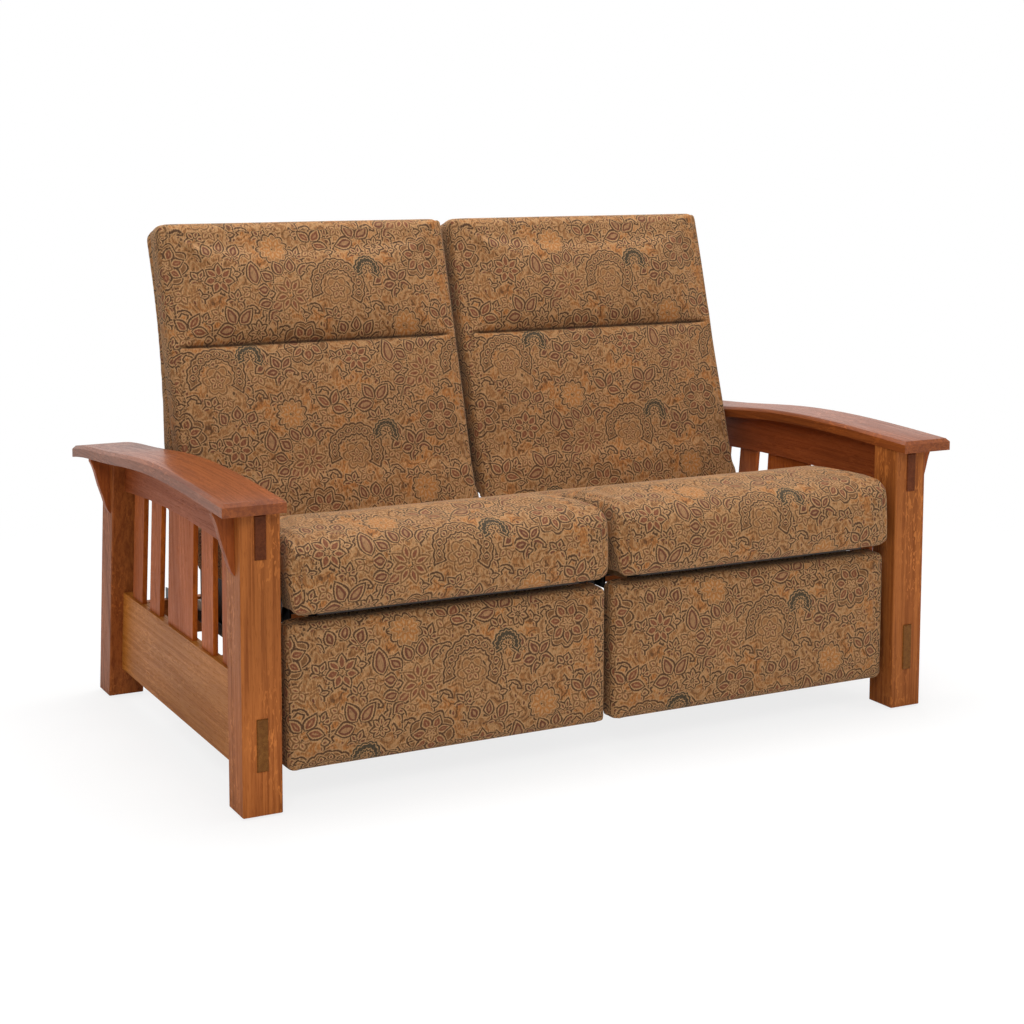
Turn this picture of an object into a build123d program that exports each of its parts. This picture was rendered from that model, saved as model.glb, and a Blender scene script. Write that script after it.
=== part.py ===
from build123d import *
import os
from math import atan2, cos, degrees, hypot, radians, sin, tan

# Reclining loveseat: a slatted oak arm frame that carries two reclining seats.
# Millimetres, +Z up, +X to the right of the seated front view, +Y to the back.
# It is laid out from the front faces of the front posts, and moved to the
# middle of its footprint when it is written. Everything is drawn for the right
# half, and the left half is its mirror image.

# Posts
post_width = 76
post_span = 1532
rear_post_foot_inset = 105
rear_post_rake_angle = 7
post_edge_chamfer = 2

# Arm boards
arm_width = 120
arm_depth = 985
arm_thickness = 24.5
arm_bevel = 6.5
arm_front_overhang = 28
arm_inner_overhang = 2
arm_crest_z = 568
arm_front_drop = 10
arm_rear_drop = 50
# Along the arm, then the share of the front drop and of the rear drop there
arm_curve_shares = [(0, 1, 0), (0.18, 0.25, 0), (0.365, 0, 0), (0.54, 0, 0.14),
                    (0.77, 0, 0.55), (0.88, 0, 0.71), (1, 0, 1)]

# Side rails between the posts, with through tenons
rail_thickness = 22
lower_rail_bottom = 64
lower_rail_height = 173
upper_rail_edge_z = 462
upper_rail_arch_rise = 16
tenon_thickness = 21
tenon_proud = 3
tenon_chamfer = 1.5
lower_tenon_bottom = 86
lower_tenon_height = 96
upper_tenon_bottom = 472
upper_tenon_height = 80

# Slats, front to back, that fan from upright to the rake of the rear post
slat_thickness = 10
narrow_slat_width = 67
wide_slat_width = 155
slat_tongue = 12
slat_tilt_shares = [0.07, 0.29, 0.61, 0.93, 1]

# Corbels under the arms
corbel_reach = 40
corbel_height = 120
corbel_thickness = 20
# Out from the post, then up the corbel
corbel_curve_shares = [(0, 0), (0.1, 0.04), (0.25, 0.16), (0.38, 0.31), (0.58, 0.51),
                       (0.84, 0.83), (1, 0.95)]

# Base: stretchers, middle legs, glides and tracks
glide_radius = 14
glide_height = 4
glide_sides = 12
stretcher_bottom = 120
stretcher_height = 80
stretcher_thickness = 22
stretcher_tenon = 12
front_stretcher_y = 356
middle_leg_width = 60
middle_leg_depth = 40
middle_leg_foot_width = 40
track_width = 24
track_height = 24
track_wall = 3
track_front_y = 290

# Seats
seat_side_gap = 15
seat_middle_gap = 7
seat_pitch_angle = 3.5
soft_clearance = 0.3
running_clearance = 0.1
open_pivot_clearance = 0.3

# Seat frame of plywood rails with webbing
seat_frame_inset = 62
seat_frame_front_y = 66
seat_frame_back_gap = 44
seat_frame_top = 362
seat_frame_thickness = 24
seat_rail_width = 60
seat_nose_length = 50
seat_nose_thickness = 10
webbing_width = 50
webbing_thickness = 2
seat_webbing_count = 5

# Seat cushion: front bulge, crown, the fall towards the back, and the lip that
# wraps down in front of the nosing strip
seat_front_y = -20
seat_bulge_z = 436
seat_lip_gap = 3
seat_lip_drop = 9
seat_crown_y = 118
seat_crown_z = 514.5
seat_rear_top_z = 424
seat_rear_gap = 2
seat_edge_radius = 30
seat_side_draw = 5
seat_crown = 14
# Points of the nose between bulge and crown, as shares of the rise and the run
seat_nose_shares = [(0.08, 0.45), (0.34, 0.8), (0.66, 0.96)]
seat_chin_share = 0.3
# Points of the fall behind the crown, as shares of its run and its drop
seat_fall_shares = [(0.1, 0.07), (0.2, 0.17)]

# Steel linkage: layers outward from the seat frame
plate_thickness = 4
layer_gap = 1
eye_radius = 11
eye_sides = 12
tube_eye_radius = 16
pin_radius = 4
tube_radius = 9
crank_length = 285
crank_closed_angle = -66
drive_pivot_y = 215
drive_pivot_z = 318
idler_offset = 50
footrest_pivot_y = 92
footrest_pivot_z = 186
rod_offset = 40

# Side plates of the seat, with shoes that slide in the tracks
plate_front_y = 150
plate_bottom_z = 302
plate_leg_front_y = 385
plate_heel_inset = 182
plate_heel_drop = 24
shoe_length_share = 4 / 19
shoe_rise = 22
shoe_slot_depth = 17

# Back, drawn upright in its own frame about its hinge and leaned afterwards
back_hinge_inset = 248
back_hinge_z = 388
back_lean_angle = 17
back_front_depth = 54.5
back_top = 667
back_bottom_clearance = 39
back_lip_drop = 22
back_lip_depth = 30
back_rear_low = 91
back_rear_mid = 27
back_rear_high = 37
back_rear_belly = 68
back_belly_height = 205
back_waist_height = 446
back_seam_height = 395
back_seam_depth = 15
back_seam_half = 16
back_seam_lip_share = 0.3
back_puff = 7
back_edge_radius = 26
back_crown = 18
back_frame_thickness = 20
back_frame_bottom = 60
back_frame_top = 632
back_stile_width = 60
back_webbing_count = 5
hinge_plate_length = 180
hinge_plate_eye = 14

# Footrest: an upholstered panel on a board
footrest_front_y = 6
footrest_thickness = 55
footrest_bottom = 65
footrest_height = 281
footrest_corner_radius = 20
footrest_edge_radius = 16
footrest_crown = 4
board_thickness = 18
board_inset = 24
bracket_height = 110
bracket_flange_width = 30

# Release lever beside the outer side of each seat
lever_pivot_y = 300
lever_pivot_z = 331
lever_shaft_radius = 6
lever_side_gap = 4
lever_thickness = 5
lever_tip_y = 40
lever_tip_z = 380
lever_width = 18
grip_length = 95
grip_thickness = 9
grip_width = 24

# Cuts run this far past what they cut
overrun = 5

# Places that follow from the sizes above
post_outer_x = post_span / 2
post_inner_x = post_outer_x - post_width
post_middle_x = post_outer_x - post_width / 2
rake = tan(radians(rear_post_rake_angle))
arm_inner_x = post_inner_x - arm_inner_overhang
layout_mid_y = arm_depth / 2 - arm_front_overhang
rear_post_foot_y = arm_depth - arm_front_overhang - rear_post_foot_inset
lower_rail_top = lower_rail_bottom + lower_rail_height
stretcher_top = stretcher_bottom + stretcher_height
upholstery_width = post_inner_x - seat_side_gap - seat_middle_gap
half_width = upholstery_width / 2
seat_centre = seat_middle_gap + half_width
seat_frame_half_width = half_width - seat_frame_inset
back_hinge_y = rear_post_foot_y - back_hinge_inset
seat_frame_back_y = back_hinge_y - seat_frame_back_gap
plate_leg_back_y = rear_post_foot_y - plate_heel_inset
shoe_length = (plate_leg_back_y - plate_leg_front_y) * shoe_length_share
lean = radians(back_lean_angle)
pitch = tan(radians(seat_pitch_angle))


def write(name, shape):
    shape = Pos(0, -layout_mid_y, 0) * shape
    export_step(shape, f"parts/{name}.step")


def write_sides(name, shape):
    write(f"right_{name}", shape)
    write(f"left_{name}", mirror(shape, about=Plane.YZ))


def write_seats(name, shape):
    write_sides(name, Pos(seat_centre, 0, 0) * shape)


def outline(points):
    return make_face(Polyline(*points, close=True))


def prism_x(face, x_from, x_to):
    return extrude(Plane.YZ.offset(x_from) * face, amount=x_to - x_from)


def prism_y(face, y_from, y_to):
    return extrude(Plane.XZ.offset(-y_from) * face, amount=y_from - y_to)


def prism_z(face, z_from, z_to):
    return extrude(Plane.XY.offset(z_from) * face, amount=z_to - z_from)


def block(x_from, x_to, y_from, y_to, z_from, z_to):
    box = Box(x_to - x_from, y_to - y_from, z_to - z_from)
    return Pos((x_from + x_to) / 2, (y_from + y_to) / 2, (z_from + z_to) / 2) * box


def both(shape):
    return Compound([shape, mirror(shape, about=Plane.YZ)])


# Front face of the raked rear post at a height
def rear_post_front(z):
    return rear_post_foot_y - rake * z


# Underside of the arm: its points, raised by the wanted amount
def arm_points(raised):
    points = []
    for along, front, rear in arm_curve_shares:
        y = along * arm_depth - arm_front_overhang
        z = arm_crest_z - front * arm_front_drop - rear * arm_rear_drop
        points.append((y, z + raised))
    return points


def arm_underside_z(y):
    points = arm_points(0)
    for (y0, z0), (y1, z1) in zip(points, points[1:]):
        if y <= y1:
            return z0 + (z1 - z0) * (y - y0) / (y1 - y0)
    return points[-1][1]


# Everything below the underside of the arm, for what ends against it
def under_arm():
    points = arm_points(0)
    edges = [
        Spline(*points),
        Line(points[-1], (points[-1][0], 0)),
        Line((points[-1][0], 0), (points[0][0], 0)),
        Line((points[0][0], 0), points[0]),
    ]
    return prism_x(make_face(edges), 0, post_span)


def arm():
    below = arm_points(0)
    above = arm_points(arm_thickness)
    edges = [
        Spline(*below),
        Line(below[-1], above[-1]),
        Spline(*above),
        Line(above[0], below[0]),
    ]
    board = prism_x(make_face(edges), arm_inner_x, arm_inner_x + arm_width)
    top = board.faces().sort_by(Axis.Z)[-1]
    return chamfer(top.edges(), arm_bevel)


# Through tenons of a side rail, cut to the slope of the rear post
def tenons(bottom, height):
    x_from = post_middle_x - tenon_thickness / 2
    x_to = x_from + tenon_thickness
    top = bottom + height
    front = block(x_from, x_to, -tenon_proud, post_width, bottom, top)
    front = chamfer(front.faces().sort_by(Axis.Y)[0].edges(), tenon_chamfer)
    reach = post_width + tenon_proud
    rear = prism_x(
        outline([
            (rear_post_front(bottom), bottom),
            (rear_post_front(bottom) + reach, bottom),
            (rear_post_front(top) + reach, top),
            (rear_post_front(top), top),
        ]),
        x_from,
        x_to,
    )
    rear = chamfer(rear.faces().sort_by(Axis.Y)[-1].edges(), tenon_chamfer)
    return front, rear


def lower_rail_blank():
    x_from = post_middle_x - rail_thickness / 2
    board = outline([
        (post_width, lower_rail_bottom),
        (rear_post_front(lower_rail_bottom), lower_rail_bottom),
        (rear_post_front(lower_rail_top), lower_rail_top),
        (post_width, lower_rail_top),
    ])
    front, rear = tenons(lower_tenon_bottom, lower_tenon_height)
    return prism_x(board, x_from, x_from + rail_thickness) + front + rear


def upper_rail_blank():
    x_from = post_middle_x - rail_thickness / 2
    edge = upper_rail_edge_z
    middle = (post_width + rear_post_front(edge)) / 2
    edges = [
        ThreePointArc(
            (post_width, edge),
            (middle, edge + upper_rail_arch_rise),
            (rear_post_front(edge), edge),
        ),
        Line((rear_post_front(edge), edge), (rear_post_front(arm_crest_z), arm_crest_z)),
        Line((rear_post_front(arm_crest_z), arm_crest_z), (post_width, arm_crest_z)),
        Line((post_width, arm_crest_z), (post_width, edge)),
    ]
    board = prism_x(make_face(edges), x_from, x_from + rail_thickness)
    front, rear = tenons(upper_tenon_bottom, upper_tenon_height)
    return (board & under_arm()) + front + (rear & under_arm())


def slats():
    middle_z = (lower_rail_top + upper_rail_edge_z) / 2
    widths = [narrow_slat_width, narrow_slat_width, wide_slat_width,
              narrow_slat_width, narrow_slat_width]
    room = rear_post_front(middle_z) - post_width
    gap = (room - sum(widths)) / (len(widths) + 1)
    bottom = lower_rail_top - slat_tongue
    top = upper_rail_edge_z + upper_rail_arch_rise + slat_tongue
    x_from = post_middle_x - slat_thickness / 2
    y = post_width + gap
    made = []
    for width, tilt in zip(widths, slat_tilt_shares):
        low = rake * tilt * (middle_z - bottom)
        high = rake * tilt * (middle_z - top)
        face = outline([
            (y + low, bottom),
            (y + low + width, bottom),
            (y + high + width, top),
            (y + high, top),
        ])
        made.append(prism_x(face, x_from, x_from + slat_thickness))
        y = y + width + gap
    return made


def front_post(cuts):
    post = block(post_inner_x, post_outer_x, 0, post_width, glide_height, arm_crest_z)
    post = chamfer(post.edges().filter_by(Axis.Z), post_edge_chamfer)
    post = post & under_arm()
    for cut in cuts:
        post = post - cut
    return post


def rear_post(cuts):
    face = outline([
        (rear_post_front(glide_height), glide_height),
        (rear_post_front(glide_height) + post_width, glide_height),
        (rear_post_front(arm_crest_z) + post_width, arm_crest_z),
        (rear_post_front(arm_crest_z), arm_crest_z),
    ])
    post = prism_x(face, post_inner_x, post_outer_x)
    up = Axis((0, 0, 0), (0, -rake, 1))
    post = chamfer(post.edges().filter_by(up), post_edge_chamfer)
    post = post & under_arm()
    for cut in cuts:
        post = post - cut
    return post


def corbel(middle_y):
    top = arm_underside_z(middle_y)
    bottom = top - corbel_height
    curve = []
    for out, up in corbel_curve_shares:
        curve.append((post_outer_x + out * corbel_reach, bottom + up * corbel_height))
    lip = (post_outer_x + corbel_reach, top + overrun)
    back = (post_outer_x, top + overrun)
    edges = [Spline(*curve), Line(curve[-1], lip), Line(lip, back), Line(back, curve[0])]
    half = corbel_thickness / 2
    shape = prism_y(make_face(edges), middle_y - half, middle_y + half)
    room = Pos(post_span / 4, 0, 0) * under_arm()
    return shape & room


def corbels():
    rear_middle_z = arm_crest_z - arm_rear_drop / 2
    rear_middle = rear_post_front(rear_middle_z) + post_width / 2
    return Compound([corbel(post_width / 2), corbel(rear_middle)])


def stretcher(y_from, end_x):
    y_to = y_from + stretcher_thickness
    board = block(-end_x, end_x, y_from, y_to, stretcher_bottom, stretcher_top)
    reach = end_x + stretcher_tenon
    inset = tenon_chamfer + tenon_proud
    tongue = block(
        -reach,
        reach,
        y_from + inset,
        y_to - inset,
        stretcher_bottom + inset,
        stretcher_top - inset,
    )
    return board + tongue


def rear_stretcher_y():
    middle_z = stretcher_bottom + stretcher_height / 2
    return rear_post_front(middle_z) + (post_width - stretcher_thickness) / 2


# A tapered leg under the middle of a stretcher
def middle_leg(y_from):
    middle_y = y_from + stretcher_thickness / 2
    foot = Pos(0, middle_y, glide_height) * Rectangle(
        middle_leg_foot_width, middle_leg_depth
    )
    head = Pos(0, middle_y, stretcher_bottom) * Rectangle(
        middle_leg_width, middle_leg_depth
    )
    return loft([foot, head])


def glide(x, y):
    disc_face = Pos(x, y) * RegularPolygon(glide_radius, glide_sides)
    return prism_z(disc_face, 0, glide_height)


def glides():
    rear_y = rear_post_front(glide_height) + post_width / 2
    made = []
    for x in (-post_middle_x, post_middle_x):
        made.append(glide(x, post_width / 2))
        made.append(glide(x, rear_y))
    for y_from in (front_stretcher_y, rear_stretcher_y()):
        made.append(glide(0, y_from + stretcher_thickness / 2))
    return Compound(made)


plate_inner_x = seat_frame_half_width
plate_outer_x = plate_inner_x + plate_thickness
plate_middle_x = plate_inner_x + plate_thickness / 2
layer = plate_thickness + layer_gap


# Inner face of a layer of the linkage, counted outward from the side plate
def layer_x(number):
    return plate_inner_x + layer * number


# Track: a channel, open upwards, on top of both stretchers
def tracks():
    half = track_width / 2
    outer = block(
        plate_middle_x - half,
        plate_middle_x + half,
        track_front_y,
        rear_stretcher_y() + stretcher_thickness,
        stretcher_top,
        stretcher_top + track_height,
    )
    inner = block(
        plate_middle_x - half + track_wall,
        plate_middle_x + half - track_wall,
        track_front_y - overrun,
        rear_stretcher_y() + stretcher_thickness + overrun,
        stretcher_top + track_wall,
        stretcher_top + track_height + overrun,
    )
    return both(outer - inner)


def shoe_middles():
    half = shoe_length / 2
    return (plate_leg_front_y + half, plate_leg_back_y - half)


shoe_bottom = stretcher_top + track_wall + soft_clearance
plate_leg_z = shoe_bottom + shoe_rise


# Nylon shoes on the lower edge of each side plate
def shoes():
    half = track_width / 2 - track_wall - soft_clearance
    made = []
    for middle in shoe_middles():
        body = block(
            plate_middle_x - half,
            plate_middle_x + half,
            middle - shoe_length / 2,
            middle + shoe_length / 2,
            shoe_bottom,
            plate_leg_z + shoe_slot_depth,
        )
        slot = block(
            plate_inner_x,
            plate_outer_x,
            middle - shoe_length,
            middle + shoe_length,
            plate_leg_z,
            plate_leg_z + shoe_slot_depth + overrun,
        )
        made.append(body - slot)
    return Compound(made + [mirror(shoe, about=Plane.YZ) for shoe in made])


def turned(point, angle):
    y, z = point
    c = cos(radians(angle))
    s = sin(radians(angle))
    return (y * c - z * s, y * s + z * c)


def plus(a, b):
    return (a[0] + b[0], a[1] + b[1])


drive_pivot = (drive_pivot_y, drive_pivot_z)
crank = turned((crank_length, 0), crank_closed_angle)
drive_tip = plus(drive_pivot, crank)
footrest_pivot = (footrest_pivot_y, footrest_pivot_z)
coupler_run = footrest_pivot_y - drive_tip[0]
coupler_rise = footrest_pivot_z - drive_tip[1]
coupler_length = hypot(coupler_run, coupler_rise)
idler_step = (
    coupler_run * idler_offset / coupler_length,
    coupler_rise * idler_offset / coupler_length,
)
idler_pivot = plus(drive_pivot, idler_step)
idler_tip = plus(drive_tip, idler_step)
rod_step = turned((-rod_offset, 0), crank_closed_angle)
rod_rear = plus(drive_tip, rod_step)
rod_front = plus(footrest_pivot, rod_step)


# Points of an arc of a link's eye, which has as many sides as an eye is given
def eye_arc(point, radius, start, end):
    step = 360 / eye_sides
    count = round((end - start) / step)
    arc = [turned((radius, 0), start + step * number) for number in range(count + 1)]
    return [plus(point, corner) for corner in arc]


# A flat bar with rounded ends between two points of the side view
def bar(start, end, radius, x_from, thickness):
    angle = degrees(atan2(end[1] - start[1], end[0] - start[0]))
    quarter = 90
    points = eye_arc(end, radius, angle - quarter, angle + quarter)
    points = points + eye_arc(start, radius, angle + quarter, angle + 3 * quarter)
    return prism_x(outline(points), x_from, x_from + thickness)


def eye(point, radius, x_from):
    full = 360
    points = eye_arc(point, radius, 0, full)[:-1]
    return prism_x(outline(points), x_from, x_from + plate_thickness)


def disc(point, radius, x_from, x_to):
    return prism_x(Pos(point[0], point[1]) * Circle(radius), x_from, x_to)


def hole(point, radius, x_from):
    return disc(point, radius, x_from - overrun, x_from + plate_thickness + overrun)


# Drive crank: carried by the torque tube, moves the coupler and the control rod
def drive_cranks():
    x = layer_x(2)
    shape = bar(drive_pivot, drive_tip, eye_radius, x, plate_thickness)
    shape = shape + eye(drive_pivot, tube_eye_radius, x)
    shape = shape - hole(drive_pivot, tube_radius, x)
    shape = shape + disc(drive_tip, pin_radius, x, layer_x(3) + plate_thickness)
    shape = shape + disc(rod_rear, pin_radius, layer_x(1), x)
    return both(shape)


def torque_tube():
    end = layer_x(2) + plate_thickness
    return disc(drive_pivot, tube_radius, -end, end)


# Idler crank: keeps the coupler level with the drive crank. Its tip is the open pivot
def idler_cranks():
    x = layer_x(2)
    shape = bar(idler_pivot, idler_tip, eye_radius, x, plate_thickness)
    shape = shape - hole(idler_tip, pin_radius + open_pivot_clearance, x)
    shape = shape + disc(idler_pivot, pin_radius, plate_inner_x, x)
    return both(shape)


def coupler_bars():
    x = layer_x(3)
    shape = bar(drive_tip, footrest_pivot, eye_radius, x, plate_thickness)
    shape = shape - hole(drive_tip, pin_radius + running_clearance, x)
    shape = shape + disc(idler_tip, pin_radius, layer_x(2), x)
    shape = shape + disc(footrest_pivot, pin_radius, layer_x(2), x)
    return both(shape)


def control_rods():
    x = layer_x(1)
    shape = bar(rod_rear, rod_front, eye_radius, x, plate_thickness)
    shape = shape - hole(rod_rear, pin_radius + running_clearance, x)
    shape = shape + disc(rod_front, pin_radius, x, layer_x(3))
    return both(shape)


footrest_back_y = footrest_front_y + footrest_thickness


# Footrest bracket: a web with two eyes on a flange that is screwed to the board
def footrest_brackets():
    x = layer_x(2)
    middle_z = (footrest_pivot_z + rod_front[1]) / 2
    half = bracket_height / 2
    root = outline([
        (footrest_back_y, middle_z - half),
        (footrest_back_y, middle_z + half),
        (rod_front[0] + eye_radius / 2, rod_front[1] + eye_radius / 2),
        (footrest_pivot[0] + eye_radius / 2, footrest_pivot[1] - eye_radius / 2),
    ])
    web = prism_x(root, x, x + plate_thickness)
    web = web + eye(footrest_pivot, eye_radius, x)
    web = web + eye(rod_front, eye_radius, x)
    flange = block(
        x,
        x + bracket_flange_width,
        footrest_back_y,
        footrest_back_y + plate_thickness,
        middle_z - half,
        middle_z + half,
    )
    web = web + flange
    web = web - hole(footrest_pivot, pin_radius + running_clearance, x)
    web = web - hole(rod_front, pin_radius + open_pivot_clearance, x)
    return both(web)


def footrest_board_block(clearance):
    reach = half_width - board_inset + clearance
    return block(
        -reach,
        reach,
        footrest_back_y - board_thickness - clearance,
        footrest_back_y,
        footrest_bottom + board_inset - clearance,
        footrest_bottom + footrest_height - board_inset + clearance,
    )


# A rounded rectangle between two corners
def rounded(x_from, x_to, y_from, y_to, radius):
    middle = Pos((x_from + x_to) / 2, (y_from + y_to) / 2)
    return middle * RectangleRounded(x_to - x_from, y_to - y_from, radius)


# Plan of an upholstered face: a crowned front with rounded corners
def crowned_plan(front_y, back_y, crown, radius):
    side = half_width
    shoulder = front_y + crown
    turn = radius * (1 - sin(radians(45)))
    edges = [
        ThreePointArc((-side + radius, shoulder), (0, front_y), (side - radius, shoulder)),
        ThreePointArc(
            (side - radius, shoulder),
            (side - turn, shoulder + turn),
            (side, shoulder + radius),
        ),
        Line((side, shoulder + radius), (side, back_y)),
        Line((side, back_y), (-side, back_y)),
        Line((-side, back_y), (-side, shoulder + radius)),
        ThreePointArc(
            (-side, shoulder + radius),
            (-side + turn, shoulder + turn),
            (-side + radius, shoulder),
        ),
    ]
    return make_face(edges)


def footrest_pad():
    bottom = footrest_bottom
    top = footrest_bottom + footrest_height
    front = footrest_front_y
    back = footrest_back_y
    radius = footrest_edge_radius
    turn = radius * (1 - sin(radians(45)))
    shoulder = front + footrest_crown
    side = make_face([
        ThreePointArc(
            (shoulder, bottom + radius), (front, (bottom + top) / 2), (shoulder, top - radius)
        ),
        ThreePointArc(
            (shoulder, top - radius), (shoulder + turn, top - turn), (shoulder + radius, top)
        ),
        Line((shoulder + radius, top), (back, top)),
        Line((back, top), (back, bottom)),
        Line((back, bottom), (shoulder + radius, bottom)),
        ThreePointArc(
            (shoulder + radius, bottom), (shoulder + turn, bottom + turn), (shoulder, bottom + radius)
        ),
    ])
    pad = prism_x(side, -half_width, half_width)
    face = rounded(-half_width, half_width, bottom, top, footrest_corner_radius)
    pad = pad & prism_y(face, front - overrun, back)
    plan = crowned_plan(front, back, footrest_crown, footrest_edge_radius)
    pad = pad & prism_z(plan, bottom, top)
    return pad - footrest_board_block(soft_clearance)


# Height of the pitched seat at a place, below its front edge
def seat_fall(y):
    return (y - seat_frame_front_y) * pitch


# Seat side plate: carries the cranks, the seat frame and the hinge of the back
def side_plates():
    back_hinge = (back_hinge_y, back_hinge_z)
    lug = 2 * hinge_plate_eye
    outer = outline([
        (plate_front_y, plate_bottom_z),
        (plate_front_y, seat_frame_top - seat_fall(plate_front_y)),
        (back_hinge_y - lug, seat_frame_top - seat_fall(back_hinge_y - lug)),
        (back_hinge_y - hinge_plate_eye, back_hinge_z),
        (back_hinge_y + hinge_plate_eye, back_hinge_z),
        (back_hinge_y + lug, seat_frame_top - seat_fall(back_hinge_y + lug)),
        (plate_leg_back_y, plate_bottom_z + plate_heel_drop / 2),
        (plate_leg_back_y, plate_leg_z),
        (plate_leg_front_y, plate_leg_z),
        (plate_leg_front_y - plate_heel_drop, plate_bottom_z),
    ])
    x = plate_inner_x
    plate = prism_x(outer, x, x + plate_thickness)
    plate = plate + eye(back_hinge, hinge_plate_eye, x)
    plate = plate - hole(back_hinge, pin_radius + running_clearance, x)
    plate = plate - hole(drive_pivot, tube_radius + running_clearance, x)
    plate = plate - hole(idler_pivot, pin_radius + running_clearance, x)
    bored = plate - hole(
        (lever_pivot_y, lever_pivot_z), lever_shaft_radius + running_clearance, x
    )
    return Compound([bored, mirror(plate, about=Plane.YZ)])


def pitched(shape):
    hinge = Pos(0, seat_frame_front_y, seat_frame_top)
    return hinge * Rot(-seat_pitch_angle, 0, 0) * shape


def seat_frame():
    depth = seat_frame_back_y - seat_frame_front_y
    reach = seat_frame_half_width
    width = seat_rail_width
    thick = seat_frame_thickness
    front = block(-reach, reach, 0, width, -thick, 0)
    nose = block(-reach, reach, -seat_nose_length, 0, -seat_nose_thickness, 0)
    back = block(-reach, reach, depth - width, depth, -thick, 0)
    side = block(reach - width, reach, width, depth - width, -thick, 0)
    made = [front, nose, back, side, mirror(side, about=Plane.YZ)]
    return pitched(Compound(made))


def seat_webbing():
    depth = seat_frame_back_y - seat_frame_front_y
    step = depth / seat_webbing_count
    made = []
    for number in range(seat_webbing_count):
        middle = step * (number + 0.5)
        made.append(
            block(
                -seat_frame_half_width,
                seat_frame_half_width,
                middle - webbing_width / 2,
                middle + webbing_width / 2,
                0,
                webbing_thickness,
            )
        )
    return pitched(Compound(made))


# Front face of the leaning back at a height, before its puffed sections
def back_face_y(z):
    return back_hinge_y - back_front_depth / cos(lean) + (z - back_hinge_z) * tan(lean)


# A point of the side view in the pitched frame of the seat
def to_seat(y, z):
    return turned((y - seat_frame_front_y, z - seat_frame_top), seat_pitch_angle)


def seat_cushion():
    base = webbing_thickness + soft_clearance
    lip_y = -seat_nose_length - seat_lip_gap
    low = -seat_lip_drop
    bulge = to_seat(seat_front_y, seat_bulge_z)
    crown = to_seat(seat_crown_y, seat_crown_z)
    rear_top = to_seat(back_face_y(seat_rear_top_z) - seat_rear_gap, seat_rear_top_z)
    away = lean - radians(seat_pitch_angle)
    rear_low = (rear_top[0] - (rear_top[1] - base) * tan(away), base)
    run = crown[0] - bulge[0]
    rise = crown[1] - bulge[1]
    nose = [(bulge[0] + a * run, bulge[1] + b * rise) for a, b in seat_nose_shares]
    slope_run = rear_top[0] - crown[0]
    slope_drop = crown[1] - rear_top[1]
    fall = [(crown[0] + a * slope_run, crown[1] - b * slope_drop)
            for a, b in seat_fall_shares]
    chin = (
        bulge[0] + (lip_y - bulge[0]) * seat_chin_share,
        low + (bulge[1] - low) * seat_chin_share,
    )
    face = make_face([
        ThreePointArc((lip_y, low), chin, bulge),
        ThreePointArc(bulge, nose[0], nose[1]),
        ThreePointArc(nose[1], nose[2], crown),
        ThreePointArc(crown, fall[0], fall[1]),
        Line(fall[1], rear_top),
        Line(rear_top, rear_low),
        Line(rear_low, (lip_y, base)),
        Line((lip_y, base), (lip_y, low)),
    ])
    body = prism_x(face, -half_width, half_width)
    ends = pillow_outline(low, crown[1] + overrun)
    body = body & prism_y(ends, bulge[0] - overrun, rear_top[0] + overrun)
    plan = crowned_plan(
        bulge[0] - overrun, rear_top[0] + overrun, seat_crown, seat_edge_radius
    )
    return pitched(body & prism_z(plan, low, crown[1] + overrun))


# End view of a cushion: crowned top, rounded corners and sides drawn in
def pillow_outline(bottom, top):
    side = half_width - seat_side_draw
    radius = seat_edge_radius
    inner = half_width - radius
    shoulder = top - seat_crown
    turn = (side - inner) * (1 - sin(radians(45)))
    roll = radius * (1 - sin(radians(45)))
    right = [
        ThreePointArc(
            (inner, shoulder), (side - turn, shoulder - roll), (side, shoulder - radius)
        ),
        ThreePointArc(
            (side, shoulder - radius),
            (half_width, (shoulder + bottom) / 2),
            (side, bottom + radius),
        ),
        ThreePointArc(
            (side, bottom + radius), (side - turn, bottom + roll), (inner, bottom)
        ),
    ]
    left = [mirror(edge, about=Plane.YZ) for edge in right]
    over = ThreePointArc((-inner, shoulder), (0, top), (inner, shoulder))
    return make_face([over, *right, Line((inner, bottom), (-inner, bottom)), *left])


# The back in its own upright frame: Y through it and Z up it, from its hinge
def leaned(shape):
    return Pos(0, back_hinge_y, back_hinge_z) * Rot(-back_lean_angle, 0, 0) * shape


def back_bottom(depth):
    return (back_bottom_clearance + depth * sin(lean)) / cos(lean)


# Lip of the back that reaches down behind the seat cushion
def back_lip(depth):
    return back_bottom(depth) - back_lip_drop / cos(lean)


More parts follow.
